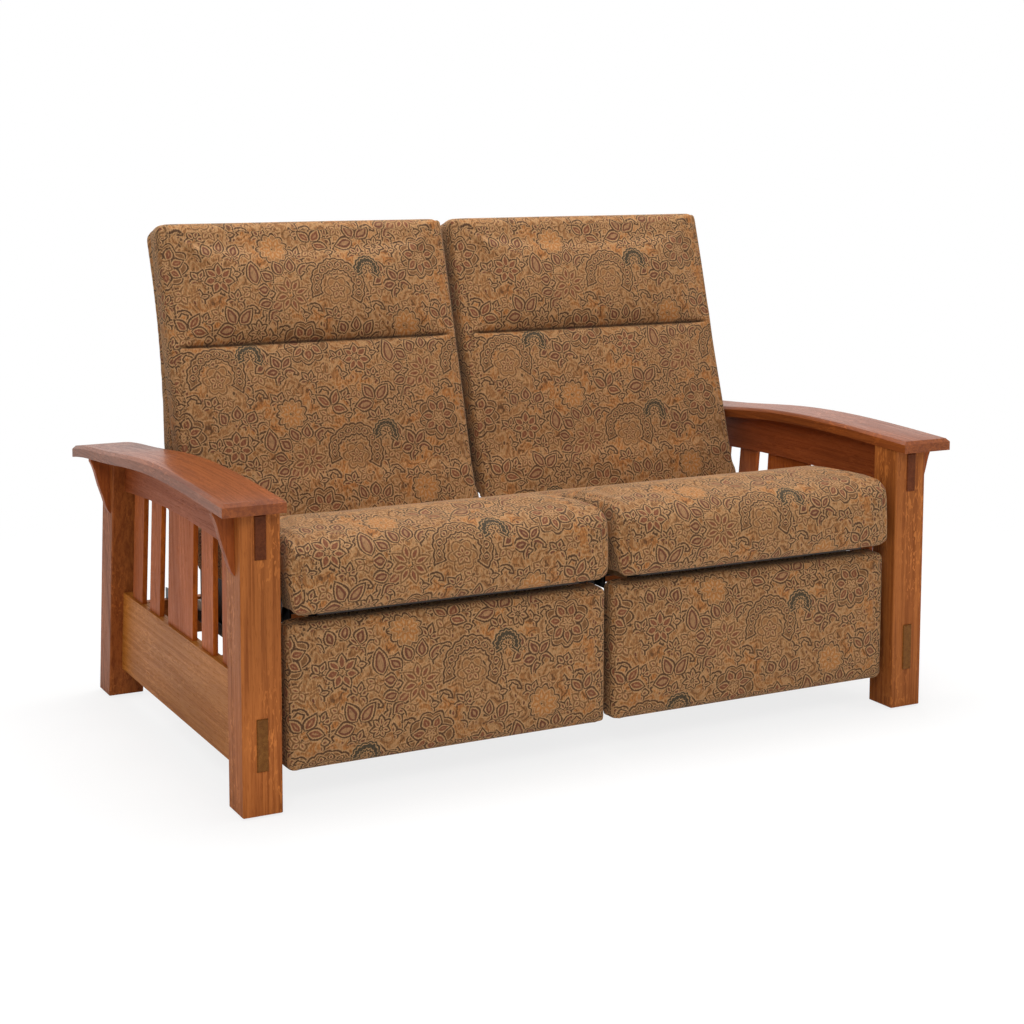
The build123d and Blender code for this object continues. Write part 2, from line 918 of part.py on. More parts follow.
# Whole upholstered back: two puffed sections that meet in a sewn channel
def back_body():
    front = -back_front_depth
    seam = back_seam_height
    low_front = back_lip(front)
    lip_inner = front + back_lip_depth
    low_rear = back_bottom(back_rear_low)
    radius = back_edge_radius
    turn = radius * (1 - sin(radians(45)))
    top = back_top
    ease = back_puff / 2
    half = back_seam_half
    shoulder = front - ease
    groove = (front + back_seam_depth, seam)
    lip = (front + back_seam_depth * back_seam_lip_share, half * back_seam_lip_share)
    middle = (low_front + seam) / 2
    lower = ThreePointArc((front, low_front), (front - back_puff, middle), (shoulder, seam - half))
    lower_lip = ThreePointArc((shoulder, seam - half), (lip[0], seam - lip[1]), groove)
    upper_lip = ThreePointArc(groove, (lip[0], seam + lip[1]), (shoulder, seam + half))
    middle = (seam + half + top - radius) / 2
    upper = ThreePointArc((shoulder, seam + half), (front - back_puff, middle), (front, top - radius))
    crest = ThreePointArc(
        (front, top - radius), (front + turn, top - turn), (front + radius, top)
    )
    rear_edge = (back_rear_high - radius, top)
    rim = ThreePointArc(
        rear_edge, (back_rear_high - turn, top - turn), (back_rear_high, top - radius)
    )
    rear = ThreePointArc(
        (back_rear_high, top - radius),
        (back_rear_mid, back_waist_height),
        (back_rear_belly, back_belly_height),
    )
    face = make_face([
        lower,
        lower_lip,
        upper_lip,
        upper,
        crest,
        Line((front + radius, top), rear_edge),
        rim,
        rear,
        Line((back_rear_belly, back_belly_height), (back_rear_low, low_rear)),
        Line((back_rear_low, low_rear), (lip_inner, back_bottom(lip_inner))),
        Line((lip_inner, back_bottom(lip_inner)), (lip_inner, back_lip(lip_inner))),
        Line((lip_inner, back_lip(lip_inner)), (front, low_front)),
    ])
    body = prism_x(face, -half_width, half_width)
    low = min(low_front, low_rear)
    deep = front - 2 * back_puff
    plate = rounded(-half_width, half_width, low - top, top, back_edge_radius)
    body = body & prism_y(plate, deep, back_rear_low + 2 * overrun)
    plan = crowned_plan(
        front - 2 * back_puff, back_rear_low + overrun, back_crown, back_edge_radius
    )
    return body & prism_z(plan, -overrun, top + overrun)


def back_pocket():
    half = back_frame_thickness / 2
    reach = layer_x(1) + plate_thickness + soft_clearance
    pocket = block(
        -reach,
        reach,
        -half - webbing_thickness - soft_clearance,
        half,
        back_frame_bottom - soft_clearance,
        back_frame_top + soft_clearance,
    )
    slot = block(
        layer_x(1) - soft_clearance,
        reach,
        -half - soft_clearance,
        half,
        0,
        back_frame_bottom,
    )
    return pocket + slot + mirror(slot, about=Plane.YZ)


def back_split(front_side):
    half = back_frame_thickness / 2
    far = 2 * back_rear_low
    if front_side:
        return block(-half_width, half_width, -far, half, 0, back_top)
    return block(-half_width, half_width, half, far, 0, back_top)


def back_frame():
    half = back_frame_thickness / 2
    reach = layer_x(1)
    inner = reach - back_stile_width
    low = back_frame_bottom
    high = back_frame_top
    stile = block(inner, reach, -half, half, low, high)
    bottom = block(-inner, inner, -half, half, low, low + back_stile_width)
    top = block(-inner, inner, -half, half, high - back_stile_width, high)
    return Compound([stile, mirror(stile, about=Plane.YZ), bottom, top])


def back_webbing():
    half = back_frame_thickness / 2
    reach = layer_x(1)
    step = (back_frame_top - back_frame_bottom) / back_webbing_count
    made = []
    for number in range(back_webbing_count):
        middle = back_frame_bottom + step * (number + 0.5)
        made.append(
            block(
                -reach,
                reach,
                -half - webbing_thickness,
                -half,
                middle - webbing_width / 2,
                middle + webbing_width / 2,
            )
        )
    return Compound(made)


# Hinge plates: screwed to the outer faces of the stiles, with the hinge pin
def hinge_plates():
    half = back_frame_thickness / 2
    x = layer_x(1)
    strip = block(x, x + plate_thickness, -half, half, 0, hinge_plate_length)
    end = eye((0, 0), hinge_plate_eye, x)
    pin = disc((0, 0), pin_radius, plate_inner_x, x)
    return both(strip + end + pin)


# Release lever: a flat steel strip on a shaft, with a thicker grip at its end
def release_lever():
    outer = half_width + lever_side_gap
    pivot = (lever_pivot_y, lever_pivot_z)
    tip = (lever_tip_y, lever_tip_z)
    shaft = disc(pivot, lever_shaft_radius, plate_inner_x, outer)
    strip = bar(pivot, tip, lever_width / 2, outer, lever_thickness)
    length = hypot(tip[0] - pivot[0], tip[1] - pivot[1])
    reach = grip_length / length
    heel = (tip[0] + (pivot[0] - tip[0]) * reach, tip[1] + (pivot[1] - tip[1]) * reach)
    spare = (grip_thickness - lever_thickness) / 2
    grip = bar(heel, tip, grip_width / 2, outer - spare, grip_thickness)
    return shaft + strip + grip


def build():
    os.makedirs("parts", exist_ok=True)
    narrow_and_wide = slats()
    lower_blank = lower_rail_blank()
    upper_blank = upper_rail_blank()
    lower = lower_blank
    upper = upper_blank
    for slat in narrow_and_wide:
        lower = lower - slat
        upper = upper - slat
    rail_inner_x = post_middle_x - rail_thickness / 2
    front_rail = stretcher(front_stretcher_y, rail_inner_x)
    rear_rail = stretcher(rear_stretcher_y(), post_inner_x)
    lower = lower - front_rail
    wide = narrow_and_wide[2]
    narrow = [slat for slat in narrow_and_wide if slat is not wide]
    write_sides("front_post", front_post([lower_blank, upper_blank]))
    write_sides("rear_post", rear_post([lower_blank, upper_blank, rear_rail]))
    write_sides("arm", arm())
    write_sides("lower_rail", lower)
    write_sides("upper_rail", upper)
    write_sides("narrow_slats", Compound(narrow))
    write_sides("wide_slat", wide)
    write_sides("corbels", corbels())
    write("front_stretcher", front_rail)
    write("rear_stretcher", rear_rail)
    legs = [middle_leg(front_stretcher_y), middle_leg(rear_stretcher_y())]
    write("middle_legs", Compound(legs))
    write("glides", glides())
    write_seats("tracks", tracks())

    write_seats("side_plates", side_plates())
    write_seats("shoes", shoes())
    write_seats("seat_frame", seat_frame())
    write_seats("seat_webbing", seat_webbing())
    write_seats("seat_cushion", seat_cushion())

    back = back_body()
    cushion = (back & back_split(True)) - back_pocket()
    write_seats("back_cushion", leaned(cushion))
    write_seats("back_panel", leaned(back & back_split(False)))
    write_seats("back_frame", leaned(back_frame()))
    write_seats("back_webbing", leaned(back_webbing()))
    write_seats("hinge_plates", leaned(hinge_plates()))

    write_seats("drive_cranks", drive_cranks())
    write_seats("torque_tube", torque_tube())
    write_seats("idler_cranks", idler_cranks())
    write_seats("coupler_bars", coupler_bars())
    write_seats("control_rods", control_rods())
    write_seats("footrest_brackets", footrest_brackets())
    write_seats("footrest_board", footrest_board_block(0))
    write_seats("footrest_pad", footrest_pad())
    write_seats("release_lever", release_lever())


build()
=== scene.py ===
# %% [markdown]
# A reclining loveseat in oak and tapestry
#
# The real object is a slatted oak arm frame with two upholstered recliner seats
# in it. Its exact joinery and linkages come from CAD and are loaded here as a
# fixed frame, in metres. Blender adds what makes it look real: simulated
# cushions, a woven figured cloth, quartersawn oak, steel and webbing.

from math import cos, pi, radians, sin

import bmesh
import bpy
import numpy as np
from mathutils import Matrix, Vector


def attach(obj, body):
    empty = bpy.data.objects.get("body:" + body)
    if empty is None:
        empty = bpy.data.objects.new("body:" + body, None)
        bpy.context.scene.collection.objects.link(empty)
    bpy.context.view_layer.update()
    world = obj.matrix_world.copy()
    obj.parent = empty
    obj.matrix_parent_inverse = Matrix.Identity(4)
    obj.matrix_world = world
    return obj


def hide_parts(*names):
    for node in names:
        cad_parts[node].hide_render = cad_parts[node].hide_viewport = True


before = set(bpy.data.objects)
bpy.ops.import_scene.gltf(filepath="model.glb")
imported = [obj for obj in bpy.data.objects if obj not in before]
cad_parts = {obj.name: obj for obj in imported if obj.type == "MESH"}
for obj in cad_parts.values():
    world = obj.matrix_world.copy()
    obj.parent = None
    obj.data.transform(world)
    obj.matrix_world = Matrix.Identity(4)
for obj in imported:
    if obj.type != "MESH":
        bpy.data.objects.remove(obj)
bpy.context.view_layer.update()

# %% [markdown]
# The camera
#
# A camera can be aimed by eye, or solved from straight edges that the picture
# shows. Here the place, turn and focal length come from such a solution. The
# picture keeps upright posts nearly parallel, which a real view camera does with
# a shifted lens, so a small vertical shift is used as well.

# %% Camera
picture_size = 1024
focal_pixels = 1923.12
centre_row = 340
eye = Vector((-1.88827, -3.628197, 1.223759))
turn, rise, roll = radians(-27.713), radians(6.143), radians(-0.133)


def viewing_axes(turn, rise, roll):
    back = Vector((sin(turn) * cos(rise), -cos(turn) * cos(rise), sin(rise)))
    right = Vector((cos(turn), sin(turn), 0))
    up = back.cross(right)
    level = Matrix((right, up, back)).transposed()
    return level @ Matrix.Rotation(-roll, 3, "Z")


camera_data = bpy.data.cameras.new("photo_camera")
camera_data.sensor_width = 36
camera_data.lens = focal_pixels / picture_size * camera_data.sensor_width
camera_data.shift_y = (centre_row - picture_size / 2) / picture_size
camera = bpy.data.objects.new("photo_camera", camera_data)
bpy.context.scene.collection.objects.link(camera)
camera.matrix_world = Matrix.Translation(eye) @ viewing_axes(turn, rise, roll).to_4x4()
bpy.context.scene.camera = camera
bpy.context.scene.view_settings.view_transform = "Standard"
print("lens", round(camera_data.lens, 2), "mm, shift", round(camera_data.shift_y, 3))

# %% [markdown]
# Formulas in shader trees
#
# Node trees can be wired one link at a time, which gets long. Here a value in a
# tree is wrapped in a small class that knows plus, minus and times, so that a
# pattern reads like a formula: each operation places one node, plugs in numbers
# or other values, and hands back its result.

# %% Formulas from nodes


def plug(socket, value):
    if isinstance(value, Wire):
        value.tree.links.new(value.socket, socket)
    else:
        socket.default_value = value


def place(tree, kind, inputs=(), **settings):
    node = tree.nodes.new(kind)
    for name, value in settings.items():
        setattr(node, name, value)
    pairs = inputs.items() if isinstance(inputs, dict) else enumerate(inputs)
    for name, value in pairs:
        plug(node.inputs[name], value)
    return node


class Wire:
    """A value in a shader tree that can be used in formulas."""

    def __init__(self, socket):
        self.socket = socket
        self.tree = socket.id_data

    def calc(self, operation, *others, first=True):
        values = (self, *others) if first else (*others, self)
        return Wire(place(self.tree, "ShaderNodeMath", values, operation=operation).outputs[0])

    def __add__(self, other):
        return self.calc("ADD", other)

    def __sub__(self, other):
        return self.calc("SUBTRACT", other)

    def __rsub__(self, other):
        return self.calc("SUBTRACT", other, first=False)

    def __mul__(self, other):
        return self.calc("MULTIPLY", other)

    def __truediv__(self, other):
        return self.calc("DIVIDE", other)

    def __rtruediv__(self, other):
        return self.calc("DIVIDE", other, first=False)

    def __lt__(self, other):
        return self.calc("LESS_THAN", other)

    def __gt__(self, other):
        return self.calc("GREATER_THAN", other)

    def __abs__(self):
        return self.calc("ABSOLUTE")

    def scaled(self, by, plus):
        return self.calc("MULTIPLY_ADD", by, plus)

    def zigzag(self):
        return self.calc("PINGPONG", 0.5)

    def step(self, low, high):
        # 0 below low and 1 above high, with a soft change between them
        node = place(self.tree, "ShaderNodeMapRange", (self, low, high),
                     interpolation_type="SMOOTHSTEP")
        return Wire(node.outputs[0])


def tree_of(values):
    return next(value.tree for value in values if isinstance(value, Wire))


def blend(share, under, over, kind="MIX"):
    node = place(tree_of((share, under, over)), "ShaderNodeMix",
                 {0: share, 6: under, 7: over}, data_type="RGBA", blend_type=kind)
    return Wire(node.outputs[2])


def times(colour, tint):
    return blend(1.0, colour, tint, "MULTIPLY")


def grey(value):
    return Wire(place(value.tree, "ShaderNodeCombineColor", (value, value, value)).outputs[0])


def stretch(vector, scale=(1, 1, 1), rotation=(0, 0, 0), shift=(0, 0, 0)):
    node = place(vector.tree, "ShaderNodeMapping", {
        "Vector": vector, "Scale": scale, "Rotation": rotation, "Location": shift,
    })
    return Wire(node.outputs[0])


def noise(vector, scale, detail=2.0, roughness=0.5, distortion=0.0, output=0):
    # three scales squeeze the noise into lines
    if isinstance(scale, tuple):
        vector, scale = stretch(vector, scale), 1.0
    node = place(vector.tree, "ShaderNodeTexNoise", {
        "Vector": vector, "Scale": scale, "Detail": detail,
        "Roughness": roughness, "Distortion": distortion,
    })
    return Wire(node.outputs[output])


def vector_calc(operation, *values):
    return Wire(place(tree_of(values), "ShaderNodeVectorMath", values,
                      operation=operation).outputs[0])


def length_of(vector):
    node = place(vector.tree, "ShaderNodeVectorMath", (vector,), operation="LENGTH")
    return Wire(node.outputs["Value"])


def parts_of(vector):
    node = place(vector.tree, "ShaderNodeSeparateXYZ", (vector,))
    return [Wire(socket) for socket in node.outputs]


def object_place(tree):
    return Wire(place(tree, "ShaderNodeTexCoord").outputs["Object"])


def cloth_place(tree):
    return Wire(place(tree, "ShaderNodeUVMap", uv_map="cloth").outputs[0])


def linear(red, green, blue):
    def one(level):
        level = level / 255
        if level <= 0.04045:
            return level / 12.92
        return ((level + 0.055) / 1.055) ** 2.4

    return (one(red), one(green), one(blue), 1)


print("formulas ready")

# %% [markdown]
# Groups and materials
#
# A pattern that several materials share belongs in a node group, which is built
# once and used many times. A group has its own inputs and outputs, and each
# material then only plugs its colours and places into it.

# %% Helpers for groups and materials
Colour, Number, Direction = "NodeSocketColor", "NodeSocketFloat", "NodeSocketVector"


def new_group(name, inputs, outputs):
    tree = bpy.data.node_groups.new(name, "ShaderNodeTree")
    for kind, label, value in inputs:
        socket = tree.interface.new_socket(label, in_out="INPUT", socket_type=kind)
        if value is not None:
            socket.default_value = value
    for kind, label in outputs:
        tree.interface.new_socket(label, in_out="OUTPUT", socket_type=kind)
    given = {s.name: Wire(s) for s in tree.nodes.new("NodeGroupInput").outputs if s.name}
    return tree, given, tree.nodes.new("NodeGroupOutput").inputs


def use_group(tree, group, inputs):
    node = place(tree, "ShaderNodeGroup", inputs, node_tree=group)
    return {socket.name: Wire(socket) for socket in node.outputs}


def new_material(name):
    material = bpy.data.materials.new(name)
    material.use_nodes = True
    tree = material.node_tree
    return material, tree, tree.nodes["Principled BSDF"].inputs


def dress(shader, colour, roughness, height=None, strength=0.0, distance=0.0):
    plug(shader["Base Color"], colour)
    plug(shader["Roughness"], roughness)
    if height is not None:
        bump = place(height.tree, "ShaderNodeBump", {
            "Strength": strength, "Distance": distance, "Height": height,
        })
        plug(shader["Normal"], Wire(bump.outputs[0]))


print("group and material helpers ready")

# %% [markdown]
# Quartersawn oak
#
# Oak sawn along its radius shows straight growth lines, fine open pores and, lying
# across them, pale shiny ray flecks. All of it runs along the board, so the
# pattern is drawn in one group whose Z is the grain, and each material turns the
# object's coordinates to suit its boards. Noise squeezed in one direction
# makes lines, and the peaks of a tilted one make the flecks.

# %% Oak grain group


def build_oak_group():
    tree, given, made = new_group(
        "QuartersawnOak",
        [(Direction, "Along", None), (Colour, "Tone", (0.36, 0.13, 0.04, 1)),
         (Number, "Flecks", 0.5), (Number, "Depth", 0.5)],
        [(Colour, "Color"), (Number, "Roughness"), (Number, "Height")],
    )
    along, tone = given["Along"], given["Tone"]
    sway = noise(along, (7, 7, 1.6))
    line = noise(along, (120, 120, 2.6), 3.0, 0.65, 0.4).step(0.38, 0.64)
    fibre = noise(along, (520, 520, 9), 2.0, 0.6)
    pore = noise(along, (900, 900, 40), 1.0).step(0.60, 0.68)
    tilted = stretch(along, (190, 190, 52), (0.42, 0.36, 0))
    ribbon = noise(tilted, 1.0, 1.5, 0.55, 0.9).step(0.54, 0.62)
    patch = noise(along, (16, 16, 6), 1.0).step(0.40, 0.60)
    fleck = ribbon * patch * given["Flecks"]
    dark = times(tone, (0.46, 0.34, 0.28, 1))
    pale = times(tone, (1.42, 1.50, 1.50, 1))
    colour = blend(line * given["Depth"], tone, dark)
    colour = blend(fibre.step(0.3, 0.8) * 0.35, colour, pale)
    colour = blend(fleck, colour, pale)
    colour = blend(pore * 0.45, colour, dark)
    shade = sway.step(0.25, 0.75).scaled(0.34, 0.83)
    plug(made["Color"], times(colour, grey(shade)))
    gloss = line.scaled(0.08, 0.42) - fleck * 0.08
    plug(made["Roughness"], pore.scaled(0.2, gloss))
    plug(made["Height"], line.scaled(0.25, fibre * 0.3) - pore * 0.8)
    return tree


oak_group = build_oak_group()
print("oak group", len(oak_group.nodes), "nodes")

# %% [markdown]
# Stained boards
#
# One stain covers the whole frame, but boards take it differently, so posts,
# rails, slats and arm boards each get a tone of their own. The upper rails are
# darker partly by their own tone and partly by painted shade, for the shade they
# sit in. The rubbed satin lacquer of the arm boards is a thin clear coat on the
# same shader.

# %% Oak materials
grain_turns = {"up": (0, 0, 0), "deep": (radians(90), 0, 0), "wide": (0, radians(90), 0)}
post_face = -0.4647


def oak(name, grain, tone, flecks, depth, lean=0.0, coat=0.0, tenons=False):
    material, tree, shader = new_material(name)
    where = object_place(tree)
    turned = stretch(stretch(where, rotation=(lean, 0, 0)), rotation=grain_turns[grain])
    wood = use_group(tree, oak_group, {
        "Along": turned, "Tone": tone, "Flecks": flecks, "Depth": depth,
    })
    colour = wood["Color"]
    if tenons:
        # end grain drinks more stain, so a tenon that shows in a post is darker
        shown = parts_of(where)[1] < post_face
        colour = blend(shown, colour, times(colour, (0.42, 0.46, 0.55, 1)))
    dress(shader, colour, wood["Roughness"], wood["Height"], 0.22, 0.0006)
    shader["Coat Weight"].default_value = coat
    shader["Coat Roughness"].default_value = 0.25
    shader["Specular IOR Level"].default_value = 0.1
    return material


post_oak = oak("oak_front_posts", "up", linear(151, 87, 40), 0.95, 0.7)
rear_post_oak = oak("oak_rear_posts", "up", linear(142, 78, 36), 0.8, 0.7, radians(7))
rail_oak = oak("oak_rails", "deep", linear(158, 97, 38), 0.5, 0.5, tenons=True)
# the upper rails' darker tone is partly their own colour and partly painted shade
upper_oak_tone_and_shade = oak("oak_upper_rails", "deep", linear(136, 68, 32), 0.4, 0.5, tenons=True)
slat_oak = oak("oak_slats", "up", linear(154, 77, 24), 0.5, 0.6, radians(3))
arm_oak = oak("oak_arm_boards", "deep", linear(124, 63, 24), 0.7, 0.7, coat=0.4)
corbel_oak = oak("oak_corbels", "up", linear(140, 72, 32), 0.3, 0.6)
stretcher_oak = oak("oak_stretchers", "wide", linear(150, 86, 40), 0.3, 0.6)
print("oak materials ready")

# %% [markdown]
# Petals, leaves and beads
#
# Figured tapestry is built from a few shapes that return at many sizes. One group
# draws a ring of pointed leaves with a dark outline and a small filled heart, from
# the angle and distance to its middle; a second one draws a scalloped band, which
# is a disk when its radius is zero. Chained copies with other counts, lengths and
# colours give rosettes, fans, arches, wreaths and sprays.

# %% Rings of petals and scalloped bands

# layers: mm inside the edge where each starts and is full, strength, colour
petal_layers = [
    (-4.8, -3.4, 0.9, "Rim"), (-2.2, -1.0, 0.9, "Outline"), (1.6, 2.6, 0.95, "Rim"),
    (4.4, 5.6, 0.85, "Filling"), (9.0, 10.0, 0.6, "Rim"),
]
band_layers = [
    (-4.8, -3.4, 0.7, "Rim"), (-2.2, -1.0, 0.9, "Outline"), (1.6, 2.6, 1.0, "Rim"),
    (3.4, 4.4, 0.9, "Filling"),
]


def figure_group(name, sizes):
    return new_group(
        name,
        [(Colour, "Color", (0.3, 0.2, 0.1, 1)), (Number, "Relief", 0.0),
         (Direction, "Cell", None), (Direction, "Middle", (0, 0, 0)),
         (Number, "Count", 8.0)] + [(Number, size, 0.005) for size in sizes] + [
         (Number, "Turn", 0.0), (Number, "Fan", 3.2),
         (Colour, "Filling", (0.1, 0.02, 0.02, 1)),
         (Colour, "Outline", (0.05, 0.02, 0.01, 1)), (Colour, "Rim", (0.45, 0.3, 0.15, 1))],
        [(Colour, "Color"), (Number, "Relief")],
    )


def around_middle(given):
    away = vector_calc("SUBTRACT", given["Cell"], given["Middle"])
    x, y, _ = parts_of(away)
    angle = (y.calc("ARCTAN2", x) - given["Turn"]).calc("WRAP", pi, -pi)
    return angle, length_of(away)


def paint(given, made, edge, layers, shown=None):
    colour, masks = given["Color"], []
    for low, high, strength, name in layers:
        mask = edge.step(low / 1000, high / 1000)
        if shown is not None:
            mask = mask * shown
        masks.append(mask)
        colour = blend(mask * strength, colour, given[name])
    rim, line = masks[:2]
    plug(made["Color"], colour)
    plug(made["Relief"], rim.scaled(0.5, given["Relief"]) - line * 0.6)


def build_petal_group():
    tree, given, made = figure_group("PetalRing", ("Reach", "Length", "Width"))
    angle, far = around_middle(given)
    half = pi / given["Count"]
    own = angle.calc("WRAP", half, half * -1.0)
    out = far * own.calc("COSINE") - given["Reach"]
    across = far * abs(own.calc("SINE"))
    share = out / given["Length"]
    belly = 1.0 - share * share
    # a leaf is fuller near its root, which bends the plain almond shape
    fuller = share.scaled(-0.28, 1.0)
    edge = belly * fuller * given["Width"] - across
    shown = (abs(angle) < given["Fan"]) * (abs(share) < 1.4)
    paint(given, made, edge, petal_layers, shown)
    return tree


def build_band_group():
    tree, given, made = figure_group("ScallopedBand", ("Reach", "Width", "Scallop"))
    angle, far = around_middle(given)
    lobe = abs((angle * given["Count"]).calc("SINE"))
    edge = lobe.scaled(given["Scallop"], given["Width"]) - abs(far - given["Reach"])
    ends = given["Fan"] - abs(angle)
    edge = edge.calc("MINIMUM", ends * far.calc("MAXIMUM", 0.004))
    paint(given, made, edge, band_layers)
    return tree


petal_group = build_petal_group()
band_group = build_band_group()
print("petal group", len(petal_group.nodes), "nodes, band group", len(band_group.nodes))

# %% [markdown]
# The woven figure
#
# Such cloth repeats on a half-drop lattice: each column of repeats is moved up by
# half a repeat, so no straight rows show. Lattices are laid over each other, a
# large one with the main flowers, one between its columns with leaf sprays, and
# one four times as fine that fills the ground with buds and small leaves, among
# scattered seeds and thin scrolling lines. Shaking the coordinates by a yarn's
# width gives every outline a woven edge.

# %% Tapestry group
repeat_wide, repeat_high = 0.290, 0.360
petal_fan_slack = 0.01
ground_tan = linear(146, 106, 68)
ground_gold = linear(168, 114, 64)
ground_brown = linear(112, 78, 50)
line_brown = linear(64, 43, 32)
line_green = linear(40, 46, 42)
light_beige = linear(176, 142, 104)
heart_wine = linear(88, 40, 34)
heart_rust = linear(110, 58, 42)

# bands: middle x, y, lobes, reach, width, scallop (mm), turn, fan (degrees), filling, outline
main_bands = [
    (-98, 116, 5.5, 0, 28, 7, 0, 181, ground_tan, line_brown),
    (38, 26, 10, 50, 10, 3, 82, 118, ground_brown, line_brown),
    (38, 18, 3, 0, 22, 9, 30, 181, ground_tan, ground_brown),
    (112, 62, 8, 22, 6, 3, 85, 120, line_green, line_green),
    (-46, -92, 4.5, 0, 40, 9, 10, 181, ground_brown, line_brown),
]
# petals: middle x, y, petals, reach, length, width (mm), turn, fan, heart, outline
main_figures = [
    (-70, 14, 13, 64, 17, 12.5, 142, 84, heart_wine, line_brown),
    (-70, 14, 8, 24, 15, 8.5, 150, 181, heart_rust, ground_brown),
    (38, 26, 15, 50, 6.5, 7.5, 82, 106, heart_wine, line_brown),
    (38, 18, 5, 11, 9, 7, 90, 181, heart_rust, ground_brown),
    (-46, -92, 7, 27, 15, 10.5, 15, 181, heart_rust, line_brown),
    (-46, -92, 5, 8, 8, 6, 50, 181, heart_wine, ground_brown),
    (-98, 116, 9, 16, 9, 4.5, 20, 181, heart_rust, ground_gold),
    (70, -122, 13, 66, 16, 12, 88, 50, heart_wine, line_brown),
    (64, -128, 7, 20, 14, 9.5, 90, 181, heart_rust, line_brown),
    (96, 130, 5.0, 28, 22, 14, 120, 110, heart_wine, line_brown),
    (-8, 128, 4.6, 22, 18, 11, 60, 120, heart_rust, line_brown),
    (-110, -150, 5.4, 22, 18, 11, 120, 130, heart_wine, line_brown),
]
small_bands = [
    (17, -24, 2.5, 13, 2.6, 2, 100, 110, ground_brown, line_brown),
]
small_figures = [
    (-14, 6, 6, 14, 11, 7.2, 70, 125, heart_wine, line_brown),
    (20, 22, 5, 11, 10, 6.4, 220, 140, heart_rust, ground_brown),
    (-16, -32, 4.4, 10, 10, 6.2, 10, 90, heart_wine, line_brown),
]
spray_bands = [
    (-6, -34, 3, 24, 3.2, 1.2, 250, 118, ground_brown, line_brown),
]
spray_figures = [
    (-2, 30, 3.2, 33, 27, 16, 96, 80, heart_wine, line_brown),
    (24, -24, 3.4, 27, 21, 12.5, 40, 84, heart_rust, line_brown),
    (-6, -62, 7, 13, 10, 6.5, 30, 181, heart_wine, line_brown),
    (2, -132, 6, 18, 15, 9.5, 100, 150, heart_wine, line_brown),
]


def lattice(cloth, aside, share=1.0):
    wide, high = repeat_wide * share, repeat_high * share
    x, y, _ = parts_of(cloth)
    x = x + aside
    column = (x / wide).calc("FLOOR")
    y = column.calc("FLOORED_MODULO", 2.0).scaled(high / 2, y)
    tier = (y / high).calc("FLOOR")
    x = x - column.scaled(wide, wide / 2)
    y = y - tier.scaled(high, high / 2)
    return Wire(place(cloth.tree, "ShaderNodeCombineXYZ", (x, y)).outputs[0])


def add_figures(cell, painted, group, labels, figures, fan_slack=0.0):
    for x, y, count, *sizes, turned, fan, filling, outline in figures:
        painted = use_group(cell.tree, group, {
            "Color": painted["Color"], "Relief": painted["Relief"], "Cell": cell,
            "Middle": (x / 1000, y / 1000, 0), "Count": float(count),
            "Turn": radians(turned), "Fan": radians(fan) + fan_slack,
            "Filling": filling, "Outline": outline, "Rim": light_beige,
            **{label: size / 1000 for label, size in zip(labels, sizes)},
        })
    return painted


def shaking(cloth, scale, reach):
    shift = noise(cloth, scale, 1.0, output=1)
    shift = vector_calc("SUBTRACT", shift, (0.5, 0.5, 0.5))
    return vector_calc("MULTIPLY", shift, (reach, reach, 0))


def draw_ground(drawn):
    pool = noise(stretch(drawn, (1, 0.7, 1)), 8.0, 1.0)
    colour = blend(pool.step(0.44, 0.62), ground_tan, ground_gold)
    dashes = noise(drawn, (300, 120, 1), 1.0)
    colour = blend(dashes.step(0.50, 0.64) * 0.65, colour, ground_brown)
    colour = blend((1.0 - dashes.step(0.34, 0.46)) * 0.7, colour, light_beige)
    curl = (noise(drawn, 30.0, 0.0, 0.5, 0.5) * 5.0).zigzag()
    pale = 1.0 - curl.step(0.09, 0.18)
    broken = noise(drawn, 38.0, 1.0).step(0.44, 0.52)
    colour = blend(pale * 0.7, colour, light_beige)
    colour = blend(curl.step(0.38, 0.46) * broken * 0.7, colour, line_brown)
    seeds = place(drawn.tree, "ShaderNodeTexVoronoi", {
        "Vector": stretch(drawn, (1.25, 0.8, 1), (0, 0, 0.5)), "Scale": 66.0,
    })
    far = Wire(seeds.outputs["Distance"])
    pick = place(drawn.tree, "ShaderNodeSeparateColor", (Wire(seeds.outputs["Color"]),))
    sort, chance = Wire(pick.outputs[0]), Wire(pick.outputs[1])
    sown = chance < 0.5
    husk = 1.0 - far.step(0.30, 0.38)
    core = 1.0 - far.step(0.16, 0.24)
    colour = blend(husk * sown * 0.7, colour, light_beige)
    colour = blend(core * sown * 0.85, colour, blend(sort > 0.6, heart_wine, line_brown))
    return {"Color": colour, "Relief": pale * 0.3}


